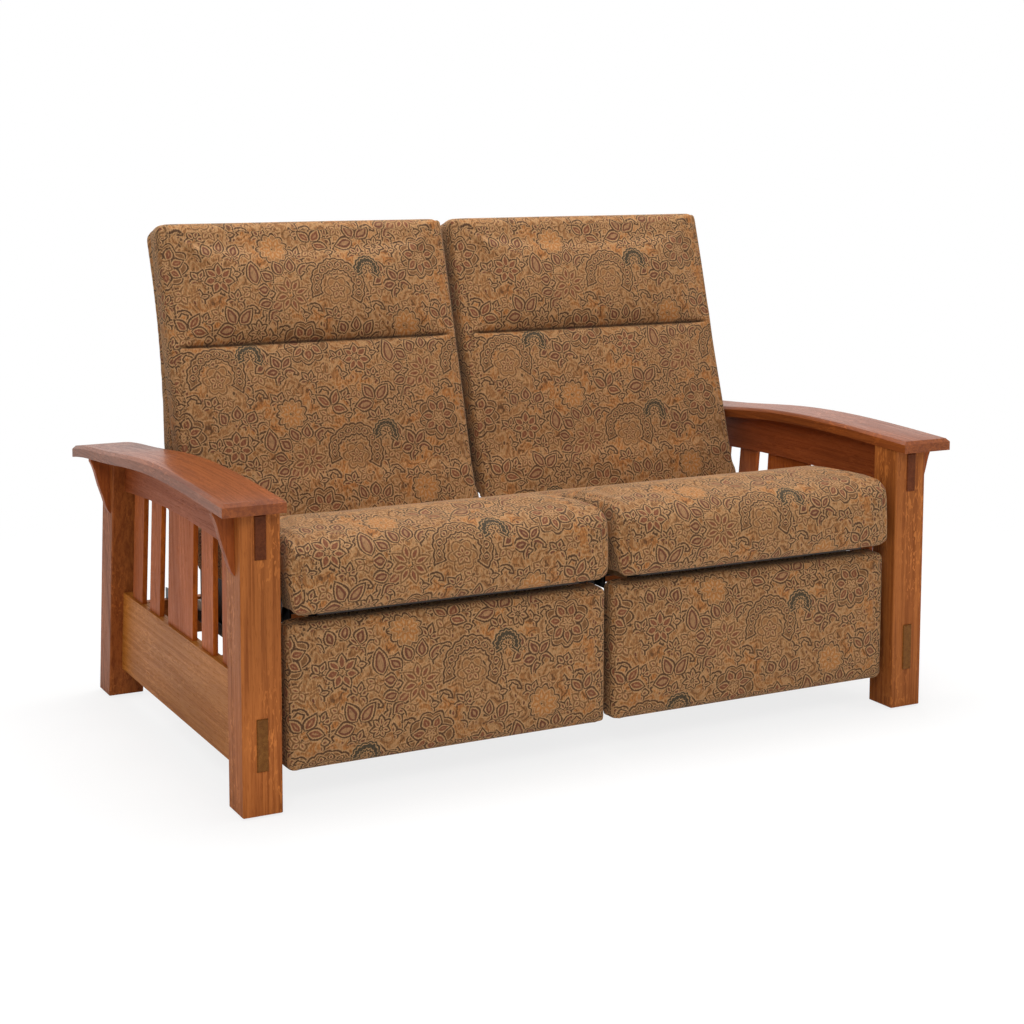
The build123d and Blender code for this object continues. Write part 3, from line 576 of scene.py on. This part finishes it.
def build_tapestry_group():
    tree, given, made = new_group(
        "FiguredTapestry", [(Direction, "Cloth", None)],
        [(Colour, "Color"), (Number, "Height"), (Number, "Roughness")],
    )
    cloth = given["Cloth"]
    drawn = vector_calc("ADD", cloth, shaking(cloth, 620.0, 0.0034))
    drawn = vector_calc("ADD", drawn, shaking(cloth, 26.0, 0.012))
    painted = draw_ground(drawn)
    for cell, bands, figures in (
        (lattice(drawn, 0.0, 0.25), small_bands, small_figures),
        (lattice(drawn, repeat_wide / 2), spray_bands, spray_figures),
        (lattice(drawn, 0.0), main_bands, main_figures),
    ):
        painted = add_figures(cell, painted, band_group, ("Reach", "Width", "Scallop"), bands)
        painted = add_figures(cell, painted, petal_group, ("Reach", "Length", "Width"),
                              figures, petal_fan_slack)

    streak = noise(cloth, (520, 130, 1), 1.0, 0.6)
    cross = noise(cloth, (240, 760, 1), 1.0)
    yarn = streak.scaled(0.90, cross * 0.30)
    tint = yarn + noise(cloth, (330, 190, 1), 2.0, 0.7).scaled(0.9, -0.18)
    dyed = times(painted["Color"], (0.88, 0.78, 0.67, 1))
    plug(made["Color"], times(dyed, grey(tint)))
    x, y, _ = parts_of(cloth)
    weave = (x * 620.0).zigzag() * (y * 540.0).zigzag()
    height = painted["Relief"].scaled(0.35, weave * 0.7)
    plug(made["Height"], height + yarn * 0.5)
    plug(made["Roughness"], yarn.scaled(0.15, 0.74))
    return tree


tapestry_group = build_tapestry_group()
print("tapestry group", len(tapestry_group.nodes), "nodes")

# %% [markdown]
# The cloth as a material
#
# Each cushion is cut from the same cloth, so the figure reads the cushion's own UV
# map, laid out in metres along the cloth. The soft pile lightens towards grazing
# angles, which is what the sheen of the shader is for.

# %% Tapestry materials


def tapestry(name, offset, seam=None):
    material, tree, shader = new_material(name)
    where = cloth_place(tree)
    cloth = use_group(tree, tapestry_group, {"Cloth": stretch(where, shift=(*offset, 0))})
    colour = cloth["Color"]
    if seam is not None:
        # painted shadow: the stitched fold of the channel gets a dark line across the cloth,
        # standing in for the shade that gathers in the fold
        across, along, _ = parts_of(where)
        fold_shadow = 1.0 - abs(along - seam).step(0.0014, 0.0040)
        inside = abs(across).step(0.326, 0.290)
        colour = blend(fold_shadow * inside * 0.75, colour, linear(38, 24, 17))
    dress(shader, colour, cloth["Roughness"], cloth["Height"], 0.35, 0.0009)
    shader["Sheen Weight"].default_value = 0.14
    shader["Sheen Roughness"].default_value = 0.45
    shader["Sheen Tint"].default_value = (1.0, 0.78, 0.55, 1)
    shader["Specular IOR Level"].default_value = 0.18
    return material


# the channel of the back lies this far along its cloth
channel_along = 0.4324
seat_cloth = tapestry("tapestry_seat", (0.177, -0.426))
back_cloth = tapestry("tapestry_back", (0.133, -0.338), channel_along)
footrest_cloth = tapestry("tapestry_footrest", (0.149, 0.005))
print("tapestry materials ready")

# %% [markdown]
# Steel, nylon, webbing and plywood
#
# The hidden parts get honest finishes too. Black oxide steel is nearly even, with
# lighter rubbed spots. Jute webbing is a plain weave of two crossing yarns,
# which two wave-like functions multiplied together describe well. Plywood shows
# a calm face and thin dark glue lines on its edges.

# %% Other materials


def steel(name, tone, roughness):
    material, tree, shader = new_material(name)
    where = object_place(tree)
    rubbed = noise(where, 60.0, 4.0, 0.7).step(0.48, 0.72)
    light = (tone[0] * 2.4, tone[1] * 2.4, tone[2] * 2.4, 1)
    fine = noise(where, 900.0)
    dress(shader, blend(rubbed, tone, light), fine.scaled(0.2, roughness), fine, 0.15, 0.0003)
    shader["Metallic"].default_value = 0.9
    return material


def webbing(name):
    material, tree, shader = new_material(name)
    along, across, _ = parts_of(cloth_place(tree))
    warp, weft = (along * 2400.0).calc("SINE"), (across * 1500.0).calc("SINE")
    cross = (warp * weft).scaled(0.5, 0.5)
    # a dark stripe runs along each edge of the strap
    border = abs(across)
    stripe = border.step(0.015, 0.016) * (1.0 - border.step(0.019, 0.020))
    colour = blend(cross, linear(120, 96, 62), linear(176, 150, 108))
    colour = blend(stripe, colour, linear(96, 40, 32))
    dress(shader, colour, cross.scaled(0.1, 0.8), cross, 0.5, 0.0008)
    return material


def plywood(name, shade_painted_before=None):
    material, tree, shader = new_material(name)
    where = object_place(tree)
    _, depth, height = parts_of(where)
    figure = noise(where, (3, 60, 60), 3.0, 0.6, 0.8)
    colour = blend(figure.step(0.3, 0.7), linear(196, 158, 108), linear(172, 130, 82))
    glue = (height * 210.0).zigzag().step(0.40, 0.47) * 0.35
    colour = blend(glue, colour, linear(104, 70, 42))
    if shade_painted_before is not None:
        # painted shade: the nosing that shows under the cushion's lip is coloured dark,
        # standing in for the shadow in the gap under the lip
        colour = blend(depth < shade_painted_before, colour, linear(40, 28, 20))
    dress(shader, colour, figure.scaled(0.2, 0.55), figure, 0.2, 0.0005)
    return material


def nylon(name):
    material, tree, shader = new_material(name)
    mottle = noise(object_place(tree), 240.0, 3.0)
    colour = blend(mottle, linear(206, 200, 186), linear(224, 220, 208))
    dress(shader, colour, mottle.scaled(0.15, 0.38))
    return material


black_steel = steel("black_steel", (0.022, 0.022, 0.024, 1), 0.34)
glide_steel = steel("glide_steel", (0.30, 0.30, 0.31, 1), 0.30)
strap_webbing = webbing("jute_webbing")
frame_plywood = plywood("birch_plywood")
nosing_back = -0.3985
# in front of nosing_back the seat plywood is painted dark, as painted shade under the cushion's
# lip
seat_plywood = plywood("dyed_nosing_plywood", nosing_back)
shoe_nylon = nylon("white_nylon")
print("other materials ready")

# %% [markdown]
# Finishing the rigid parts
#
# The CAD parts already have the right shape, so they only get their finish.
# A weld and a narrow bevel, both as modifiers, break their sharp arrises: real
# edges are sanded, and the small facet is what catches the light.

# %% Finish the rigid parts
finish_of = {
    "front_post": post_oak, "rear_post": rear_post_oak, "arm": arm_oak,
    "lower_rail": rail_oak, "upper_rail": upper_oak_tone_and_shade, "narrow_slats": slat_oak,
    "wide_slat": slat_oak, "corbels": corbel_oak, "front_stretcher": stretcher_oak,
    "rear_stretcher": stretcher_oak, "middle_legs": corbel_oak,
    "seat_frame": seat_plywood, "back_frame": frame_plywood,
    "footrest_board": frame_plywood, "shoes": shoe_nylon, "glides": glide_steel,
}
soft_kinds = ("seat_cushion", "back_cushion", "back_panel", "footrest_pad", "seat_webbing",
              "back_webbing")
arris_of = {"arm": 0.0016, "front_post": 0.0012, "rear_post": 0.0012}
usual_arris = 0.0006
weld_reach = 0.00002
finished = 0
for name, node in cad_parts.items():
    kind = name.replace("right_", "").replace("left_", "")
    if kind in soft_kinds:
        continue
    material = finish_of.get(kind, black_steel)
    if not node.material_slots:
        node.data.materials.append(material)
    for slot in node.material_slots:
        slot.material = material
    weld = node.modifiers.new("weld", "WELD")
    weld.merge_threshold = weld_reach
    arris = node.modifiers.new("arris", "BEVEL")
    arris.width = arris_of.get(kind, usual_arris)
    arris.segments = 2
    arris.limit_method = "ANGLE"
    arris.angle_limit = radians(32)
    finished += 1
print("rigid parts finished:", finished)

# %% [markdown]
# Stuffed cushions
#
# A cushion is a cover sewn slightly too small for its filling, so it is round and
# tight and keeps shallow hollows along its seams. It can be sculpted by hand, but a
# cloth simulation finds that shape by itself: the solid is remeshed evenly,
# drawn in a little, and blown up by pressure while the places where it is sewn or
# rests on something are held. A cap keeps it clear of its neighbours.

# %% Helpers for soft pieces
skin_grain = 0.006


def new_piece(name, mesh):
    mesh.name = name
    piece = bpy.data.objects.new(name, mesh)
    bpy.context.scene.collection.objects.link(piece)
    return piece


def joined_copy(node_name, name):
    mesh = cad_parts[node_name].data.copy()
    shape = bmesh.new()
    shape.from_mesh(mesh)
    bmesh.ops.remove_doubles(shape, verts=shape.verts, dist=weld_reach)
    shape.to_mesh(mesh)
    shape.free()
    mesh.materials.clear()
    return new_piece(name, mesh)


def bake(piece):
    seen = piece.evaluated_get(bpy.context.evaluated_depsgraph_get())
    mesh = bpy.data.meshes.new_from_object(seen)
    piece.modifiers.clear()
    piece.vertex_groups.clear()
    piece.data = mesh
    mesh.name = piece.name
    return piece


def read_vectors(items, what):
    flat = np.empty(len(items) * 3)
    items.foreach_get(what, flat)
    return flat.reshape(-1, 3)


def points_of(mesh):
    return read_vectors(mesh.vertices, "co")


def normals_of(mesh):
    return read_vectors(mesh.vertices, "normal")


def set_points(mesh, points):
    mesh.vertices.foreach_set("co", points.reshape(-1))
    mesh.update()


def even_skin(node_name, name):
    piece = joined_copy(node_name, name)
    skin = piece.modifiers.new("skin", "REMESH")
    skin.mode = "VOXEL"
    skin.voxel_size = skin_grain
    bake(piece)
    print(name, "even skin of", len(piece.data.vertices), "points")
    return piece


def soften(piece, rounds):
    smooth = piece.modifiers.new("smooth", "SMOOTH")
    smooth.iterations = rounds
    smooth.factor = 0.5
    bake(piece)


def refine(piece):
    finer = piece.modifiers.new("finer", "SUBSURF")
    finer.levels = 1
    finer.render_levels = 1
    bake(piece)


print("soft helpers ready")

# %% [markdown]
# Where each cushion is held
#
# Everything is worked out for the right-hand seat, and the left one is its mirror
# image. The seat cushion is held where it lies on its frame and against the back;
# the back is held at its frame and along the sewn channel; the footrest pad is
# held at its board. These are lists of weights from 0, free, to 1, held.

# %% Held places
layout_middle = 0.4645
seat_middle = 0.341
cushion_half = 0.334
back_hinge = Vector((0, 0.604 - layout_middle, 0.388))
back_lean = radians(17)
back_front = -0.0545
channel_height = 0.395
pitch = radians(3.5)
seat_edge = Vector((0, 0.066 - layout_middle, 0.362))


def back_parts(vectors):
    y, z = vectors[:, 1], vectors[:, 2]
    depth = y * cos(back_lean) - z * sin(back_lean)
    height = y * sin(back_lean) + z * cos(back_lean)
    return depth, height


def back_frame_of(points):
    return back_parts(points - np.array(back_hinge))


def ramp(value, low, high):
    share = np.clip((value - low) / (high - low), 0, 1)
    return share * share * (3 - 2 * share)


def over_frame(points):
    y = points[:, 1] - seat_edge.y
    z = points[:, 2] - seat_edge.z
    return y * sin(pitch) + z * cos(pitch)


def held_seat(points):
    depth, _ = back_frame_of(points)
    under = 1 - ramp(over_frame(points), 0.006, 0.020)
    behind = 1 - ramp(back_front - depth, 0.004, 0.03)
    return np.clip(under + behind, 0, 1)


def held_back(points):
    depth, height = back_frame_of(points)
    at_frame = ramp(depth, -0.030, -0.012)
    channel = 1 - ramp(np.abs(height - channel_height), 0.004, 0.016)
    channel *= ramp(-depth, 0.02, 0.035)
    low = 1 - ramp(height, 0.08, 0.14)
    return np.clip(at_frame + channel + low, 0, 1)


def held_pad(points):
    return ramp(points[:, 1] + layout_middle, 0.046, 0.056)


print("seat middle", seat_middle, "half width", cushion_half)

# %% Blow up the cushions
blow_frames = 20
cloth_settings = {
    "quality": 5, "mass": 0.35, "tension_stiffness": 12, "compression_stiffness": 8,
    "shear_stiffness": 4, "bending_stiffness": 0.6, "use_pressure": True,
    "uniform_pressure_force": 4.0, "vertex_group_mass": "held",
}
farthest_move = 0.026
face_shrink, side_shrink = 0.004, 0.0006
slow_start = 2.4


def stuff(piece, held, draw_in, side_room, face_room):
    mesh = piece.data
    full = points_of(mesh)
    normals = normals_of(mesh)
    weights = held(full)
    start = full - normals * (draw_in * (1 - weights))[:, None]
    set_points(mesh, start)
    group = piece.vertex_groups.new(name="held")
    for step in range(1, 11):
        chosen = np.nonzero((weights > (step - 1) / 10) & (weights <= step / 10))[0]
        group.add([int(i) for i in chosen], step / 10, "REPLACE")
    cloth = piece.modifiers.new("cloth", "CLOTH")
    for name, value in cloth_settings.items():
        setattr(cloth.settings, name, value)
    cloth.settings.effector_weights.gravity = 0
    cloth.point_cache.frame_start = 1
    cloth.point_cache.frame_end = blow_frames
    for number in range(1, blow_frames + 1):
        bpy.context.scene.frame_set(number)
    seen = piece.evaluated_get(bpy.context.evaluated_depsgraph_get())
    blown = bpy.data.meshes.new_from_object(seen)
    moved = points_of(blown)
    bpy.data.meshes.remove(blown)
    piece.modifiers.clear()
    piece.vertex_groups.clear()
    bpy.context.scene.frame_set(1)
    move = moved - start
    length = np.linalg.norm(move, axis=1)
    move *= np.minimum(1, farthest_move / np.maximum(length, 1e-9))[:, None]
    target = start + move
    # the cap lets a face stand out less and less as it nears its room
    out = np.einsum("ij,ij->i", target - full, normals)
    sideways = ramp(np.abs(normals[:, 0]), 0.45, 0.75)
    room = face_room + (side_room - face_room) * sideways
    rounded = room * np.tanh(np.maximum(out, 0) / (slow_start * room))
    shrunk = face_shrink + (side_shrink - face_shrink) * sideways
    over = np.maximum(out, 0) - rounded - np.maximum(-shrunk - out, 0)
    target -= normals * over[:, None]
    set_points(mesh, target)
    print(piece.name, "moved up to", round(float(length.max()) * 1000, 1), "mm, stands",
          round(float((out - over).max()) * 1000, 1), "mm proud")


right_seat_cover = even_skin("right_seat_cushion", "right_seat_cover")
right_back_cover = even_skin("right_back_cushion", "right_back_cover")
right_footrest_cover = even_skin("right_footrest_pad", "right_footrest_cover")
right_outside_back = even_skin("right_back_panel", "right_outside_back")
stuff(right_seat_cover, held_seat, 0.006, 0.0045, 0.004)
stuff(right_back_cover, held_back, 0.006, 0.0045, 0.005)
stuff(right_footrest_cover, held_pad, 0.003, 0.0035, 0.003)

# %% [markdown]
# Seams, gathers and a used look
#
# Remeshing wipes out anything thinner than its grid, so the sewing comes after it:
# each point is pressed in by its distance to a seam line. A boxed cushion has a
# seam where its faces meet the side strips, and cloth puckers beside
# the channel across the back. Slow waves make the filling look sat on.

# %% Press in the seams
seam_half = 0.0034
seam_depth = 0.0034
lip_fill = 0.009
pad_edges = (0.077, 0.334)


def waves(points, seed, length):
    chance = np.random.default_rng(seed)
    total = np.zeros(len(points))
    for _ in range(7):
        way = chance.normal(size=3)
        way /= np.linalg.norm(way)
        phase = chance.uniform(0, 2 * pi)
        total += np.sin(points @ way * (2 * pi / (length * chance.uniform(0.7, 1.5))) + phase)
    return total / 7


def groove(distance, half):
    return np.exp(-(distance / half) ** 2)


def press_in(piece, amount):
    mesh = piece.data
    set_points(mesh, points_of(mesh) - normals_of(mesh) * amount[:, None])


def sew_seat(piece):
    points, normals = points_of(piece.data), normals_of(piece.data)
    x = points[:, 0] - seat_middle
    faces = ramp(normals[:, 2] - normals[:, 1], 0.2, 0.6)
    side_seam = groove(np.abs(x) - (cushion_half - 0.020), seam_half) * faces
    y = points[:, 1] + layout_middle
    chin = groove(points[:, 2] - 0.402, 0.0036) * ramp(-normals[:, 1], 0.5, 0.8) * 0.35
    pucker = np.sin(x * 190 + waves(points, 5, 0.2) * 3) * groove(np.abs(x) - 0.314, 0.02)
    soft = waves(points, 11, 0.26) * 0.0016 * ramp(y, 0.0, 0.1)
    press_in(piece, side_seam * seam_depth + chin * 0.0010 + soft + pucker * 0.0002)


def sew_back(piece):
    points = points_of(piece.data)
    depth, height = back_frame_of(points)
    x = points[:, 0] - seat_middle
    front = ramp(-depth, 0.022, 0.040)
    near = height - channel_height
    spread = ramp(cushion_half - np.abs(x), 0.006, 0.05)
    channel = (groove(near, 0.0032) * 0.009 + groove(near, 0.009) * 0.004) * front * spread
    beside = groove(np.abs(near) - 0.018, 0.020) * front
    gathers = np.sin(x * 150 + waves(points, 3, 0.15) * 4) * beside * 0.0011
    rim = groove(np.abs(x) - (cushion_half - 0.016), seam_half) * front * 0.0030
    soft = waves(points, 21, 0.3) * 0.0016 * front
    press_in(piece, channel + gathers + rim + soft)


def square_lip(piece):
    # the lip behind the seat cushion has square lower corners, but stays
    # inside the sides and the front of the cushion
    points, normals = points_of(piece.data), normals_of(piece.data)
    _, height = back_frame_of(points)
    rearward, upward = back_parts(normals)
    flatness = np.max(np.abs([normals[:, 0], rearward, upward]), axis=0)
    amount = (1 - ramp(height, 0.030, 0.060)) * ramp(1 - flatness, 0.03, 0.28) * lip_fill
    amount *= ramp(np.abs(normals[:, 0]), 0.2, 0.5)
    way = normals - np.minimum(rearward, 0)[:, None] * (0, cos(back_lean), -sin(back_lean))
    way[:, 2] = np.maximum(way[:, 2], -0.3)
    moved = points + way * amount[:, None]
    x = np.clip(moved[:, 0] - seat_middle, -cushion_half, cushion_half)
    moved[:, 0] = np.where(amount > 0.0001, seat_middle + x, moved[:, 0])
    set_points(piece.data, moved)


def sew_pad(piece):
    points, normals = points_of(piece.data), normals_of(piece.data)
    x = points[:, 0] - seat_middle
    front = ramp(-normals[:, 1], 0.5, 0.8)
    rim = groove(np.abs(x) - (cushion_half - 0.012), 0.004) * front * 0.0022
    to_low, to_high = (np.abs(points[:, 2] - edge) for edge in pad_edges)
    ends = groove(np.minimum(to_low, to_high), 0.004) * front * 0.0012
    soft = waves(points, 31, 0.22) * 0.0009 * front
    press_in(piece, rim + ends + soft)


soften(right_seat_cover, 5)
soften(right_back_cover, 4)
soften(right_footrest_cover, 3)
soften(right_outside_back, 6)
for piece in (right_seat_cover, right_back_cover, right_footrest_cover, right_outside_back):
    refine(piece)
sew_seat(right_seat_cover)
sew_back(right_back_cover)
square_lip(right_back_cover)
sew_pad(right_footrest_cover)
print("seams pressed in")

# %% [markdown]
# Laying the cloth
#
# The figure must run along the cloth, over the nose of the cushion and up the
# back, without stretching. So the UV map is measured, not projected: across is the
# distance from the middle of the seat, and along is the distance walked on the
# cushion's side profile. Side strips are separate cuts and get their own.

# %% Lay the cloth
side_share = 0.72
strip_shift = (0.11, 0.07)


def lay_cloth(piece, profile, middle):
    mesh = piece.data
    points = points_of(mesh)
    starts = np.array(profile[:-1])
    runs = np.array(profile[1:]) - starts
    lengths = np.linalg.norm(runs, axis=1)
    walked = np.concatenate(([0], np.cumsum(lengths)))
    best = np.full(len(points), 1e9)
    along = np.zeros(len(points))
    for start, run, length, before in zip(starts, runs, lengths, walked):
        rel = points[:, 1:3] - start
        share = np.clip(rel @ run / length ** 2, 0, 1)
        gap = np.linalg.norm(rel - share[:, None] * run, axis=1)
        closer = gap < best
        best = np.where(closer, gap, best)
        along = np.where(closer, before + share * length, along)
    corners = np.empty(len(mesh.loops), dtype=np.int64)
    mesh.loops.foreach_get("vertex_index", corners)
    faces = np.empty(len(mesh.polygons), dtype=np.int64)
    mesh.polygons.foreach_get("loop_total", faces)
    normals = read_vectors(mesh.polygons, "normal")
    side = np.repeat(np.abs(normals[:, 0]) > side_share, faces)
    front = np.stack([points[corners, 0] - middle, along[corners]], axis=1)
    strip = points[corners, 1:3] + strip_shift
    cloth = np.where(side[:, None], strip, front)
    layer = mesh.uv_layers.new(name="cloth")
    layer.data.foreach_set("uv", cloth.reshape(-1))
    mesh.polygons.foreach_set("use_smooth", np.ones(len(mesh.polygons), dtype=bool))
    mesh.update()
    print(piece.name, "cloth runs", round(float(walked[-1]), 3), "m")


def laid_out(y, z):
    return (y / 1000 - layout_middle, z / 1000)


def leaning(depth, height):
    y = back_hinge.y + depth * cos(back_lean) + height * sin(back_lean)
    z = back_hinge.z - depth * sin(back_lean) + height * cos(back_lean)
    return (y, z)


seat_profile = [laid_out(y, z) for y, z in (
    (530, 338), (13, 368), (13, 357), (-8, 385), (-20, 436), (-8, 470), (30, 497), (70, 510),
    (118, 514), (200, 510), (540, 436), (556, 424), (530, 338),
)]
back_profile = [leaning(depth, height) for depth, height in (
    (-0.0245, 0.03), (-0.0545, 0.003), (-0.060, 0.2), (-0.060, 0.641), (-0.030, 0.667),
    (0.020, 0.667), (0.037, 0.640), (0.027, 0.446), (0.068, 0.205), (0.091, 0.06),
    (-0.0245, 0.03),
)]
pad_profile = [laid_out(y, z) for y, z in (
    (61, 65), (22, 65), (6, 82), (5, 205), (6, 330), (22, 346), (61, 346), (61, 65),
)]


def mirrored(piece, name):
    mesh = piece.data.copy()
    shape = bmesh.new()
    shape.from_mesh(mesh)
    bmesh.ops.transform(shape, matrix=Matrix.Scale(-1, 4, (1, 0, 0)), verts=shape.verts)
    bmesh.ops.reverse_faces(shape, faces=shape.faces)
    shape.to_mesh(mesh)
    shape.free()
    return new_piece(name, mesh)


def upholster(piece, profile, material, body, node):
    twin = mirrored(piece, piece.name.replace("right", "left"))
    for one, side, middle in ((piece, "right", seat_middle), (twin, "left", -seat_middle)):
        lay_cloth(one, profile, middle)
        one.data.materials.clear()
        one.data.materials.append(material)
        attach(one, f"{side}_{body}")
        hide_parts(f"{side}_{node}")


upholster(right_seat_cover, seat_profile, seat_cloth, "seat", "seat_cushion")
upholster(right_back_cover, back_profile, back_cloth, "back", "back_cushion")
upholster(right_footrest_cover, pad_profile, footrest_cloth, "footrest", "footrest_pad")
upholster(right_outside_back, back_profile, back_cloth, "back", "back_panel")

# %% [markdown]
# Webbing straps
#
# Straps carry the cushions. The remesh would erase anything so thin, so each is
# made directly: a flat grid with its own UV map, given its thickness.

# %% Webbing straps
strap_half, strap_thick, strap_count = 0.025, 0.002, 5


def piece_from(shape, name, material):
    bmesh.ops.recalc_face_normals(shape, faces=shape.faces)
    mesh = bpy.data.meshes.new(name)
    shape.to_mesh(mesh)
    shape.free()
    mesh.materials.append(material)
    return new_piece(name, mesh)


def spread_out(start, along, low, high):
    step = (high - low) / strap_count
    return [start + along * (low + step * (n + 0.5)) for n in range(strap_count)]


def strap(shape, centre, half_length, along):
    grid = bmesh.ops.create_grid(shape, x_segments=28, y_segments=4, size=0.5)
    verts = grid["verts"]
    layer = shape.loops.layers.uv.get("cloth") or shape.loops.layers.uv.new("cloth")
    places = {v: (v.co.x * 2 * half_length, v.co.y * 2 * strap_half) for v in verts}
    for face in {f for v in verts for f in v.link_faces}:
        for loop in face.loops:
            loop[layer].uv = places[loop.vert]
    for v in verts:
        x, across = places[v]
        v.co = centre + Vector((x, 0, 0)) + along * across


def straps(name, spots, half_length, along, body, node):
    shape = bmesh.new()
    for spot in spots:
        strap(shape, spot, half_length, along)
    piece = piece_from(shape, name, strap_webbing)
    thick = piece.modifiers.new("thick", "SOLIDIFY")
    thick.thickness = strap_thick
    thick.offset = 0
    bake(piece)
    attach(piece, body)
    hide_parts(node)


seat_along = Vector((0, cos(pitch), -sin(pitch)))
seat_up = Vector((0, sin(pitch), cos(pitch)))
back_along = Vector((0, sin(back_lean), cos(back_lean)))
back_out = Vector((0, -cos(back_lean), sin(back_lean)))
for side, sign in (("right", 1), ("left", -1)):
    middle = Vector((sign * seat_middle, 0, 0))
    spots = spread_out(middle + seat_edge + seat_up * 0.001, seat_along, 0.0, 0.494)
    straps(f"{side}_seat_straps", spots, 0.272, seat_along, f"{side}_seat",
           f"{side}_seat_webbing")
    spots = spread_out(middle + back_hinge + back_out * 0.011, back_along, 0.060, 0.632)
    straps(f"{side}_back_straps", spots, 0.277, back_along, f"{side}_back",
           f"{side}_back_webbing")
print("straps made")

# %% [markdown]
# Rivets of the linkage
#
# Pins of a recliner linkage end in domed rivet heads. A quarter circle spun about
# its axis makes a clean dome with its pole closed.

# %% Rivet heads
rivet_radius, rivet_height = 0.0075, 0.003
coupler_plane = 0.291
arc_steps, turn_steps = 5, 20


def points_after(shape, earlier):
    return list({v for f in shape.faces if f not in earlier for v in f.verts})


def dome(shape, centre, sign):
    earlier = set(shape.faces)
    verts, edges = [shape.verts.new((0, 0, rivet_radius))], []
    for n in range(1, arc_steps + 1):
        angle = n / arc_steps * pi / 2
        verts.append(shape.verts.new((rivet_height * sin(angle), 0, rivet_radius * cos(angle))))
        edges.append(shape.edges.new((verts[-2], verts[-1])))
    bmesh.ops.spin(shape, geom=verts + edges, cent=(0, 0, 0), axis=(1, 0, 0),
                   angle=2 * pi, steps=turn_steps, use_merge=True)
    bmesh.ops.remove_doubles(shape, verts=points_after(shape, earlier), dist=weld_reach)
    for v in points_after(shape, earlier):
        v.co = Vector((v.co.x * sign, v.co.y, v.co.z)) + centre


def rivets(name, spots, sign, body):
    shape = bmesh.new()
    for spot in spots:
        dome(shape, spot, sign)
    piece = piece_from(shape, name, glide_steel)
    for face in piece.data.polygons:
        face.use_smooth = True
    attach(piece, body)


crank_angle = radians(-66)
drive_tip = (215 + 285 * cos(crank_angle), 318 + 285 * sin(crank_angle))
coupler_ends = [laid_out(*drive_tip), laid_out(92, 186)]
for side, sign in (("right", 1), ("left", -1)):
    for label, way in (("right", 1), ("left", -1)):
        x = sign * seat_middle + way * coupler_plane
        spots = [Vector((x, y, z)) for y, z in coupler_ends]
        rivets(f"{side}_rivets_{label}", spots, way, f"{side}_coupler")
print("rivets made")

# %% [markdown]
# Floor, backdrop and light
#
# The picture is a cut-out on white. A large pale floor and a white world seen only
# by the camera and by reflections give that, while soft lamps light the oak at a
# plain level. One broad lamp stands high at the front left, a weaker one fills
# the right, and the world lifts the shadows.

# %% Floor and light
floor_shape = bmesh.new()
bmesh.ops.create_grid(floor_shape, x_segments=1, y_segments=1, size=60)
floor_mesh = bpy.data.meshes.new("floor")
floor_shape.to_mesh(floor_mesh)
floor_shape.free()
floor = new_piece("floor", floor_mesh)
floor_white, floor_tree, floor_shader = new_material("floor_white")
glow = place(floor_tree, "ShaderNodeEmission", ((1, 1, 1, 1), 1.0))
seen_floor = Wire(place(floor_tree, "ShaderNodeLightPath").outputs["Is Camera Ray"])
far_off = length_of(object_place(floor_tree)).step(1.4, 2.6).scaled(0.20, 0.80)
matt = floor_tree.nodes["Principled BSDF"]
mixed = place(floor_tree, "ShaderNodeMixShader", (
    seen_floor * far_off, Wire(matt.outputs[0]), Wire(glow.outputs[0]),
))
plug(floor_tree.nodes["Material Output"].inputs[0], Wire(mixed.outputs[0]))
floor_shader["Base Color"].default_value = (0.97, 0.97, 0.97, 1)
floor_shader["Roughness"].default_value = 0.9
floor_shader["Specular IOR Level"].default_value = 0.1
floor_mesh.materials.append(floor_white)

world = bpy.data.worlds.new("studio")
bpy.context.scene.world = world
world.use_nodes = True
sky = world.node_tree
ambient = sky.nodes["Background"]
ambient.inputs[0].default_value = (1.0, 0.985, 0.96, 1)
ambient.inputs[1].default_value = 0.50
seen_sky = place(sky, "ShaderNodeBackground", ((1, 1, 1, 1), 1.0))
rays = place(sky, "ShaderNodeLightPath").outputs
white = Wire(rays["Is Camera Ray"]).calc("MAXIMUM", Wire(rays["Is Transmission Ray"]))
white = white.calc("MAXIMUM", Wire(rays["Is Glossy Ray"]))
both = place(sky, "ShaderNodeMixShader", (
    white, Wire(ambient.outputs[0]), Wire(seen_sky.outputs[0]),
))
plug(sky.nodes["World Output"].inputs[0], Wire(both.outputs[0]))


def lamp(name, where, towards, size, power, colour):
    data = bpy.data.lights.new(name, "AREA")
    data.shape = "RECTANGLE"
    data.size, data.size_y = size
    data.energy = power
    data.color = colour
    lit = bpy.data.objects.new(name, data)
    bpy.context.scene.collection.objects.link(lit)
    lit.location = where
    way = Vector(towards) - Vector(where)
    lit.rotation_mode = "QUATERNION"
    lit.rotation_quaternion = way.to_track_quat("-Z", "Y")


lamp("key", (-2.2, -3.4, 3.0), (0, 0, 0.4), (1.8, 1.5), 64, (1.0, 0.98, 0.95))
lamp("fill", (3.2, -2.6, 2.0), (0, 0, 0.5), (2.2, 1.8), 24, (1.0, 0.98, 0.96))
lamp("top", (0.1, 0.3, 3.6), (0, 0, 0), (2.4, 1.8), 118, (1, 1, 1))
print("lamps placed")
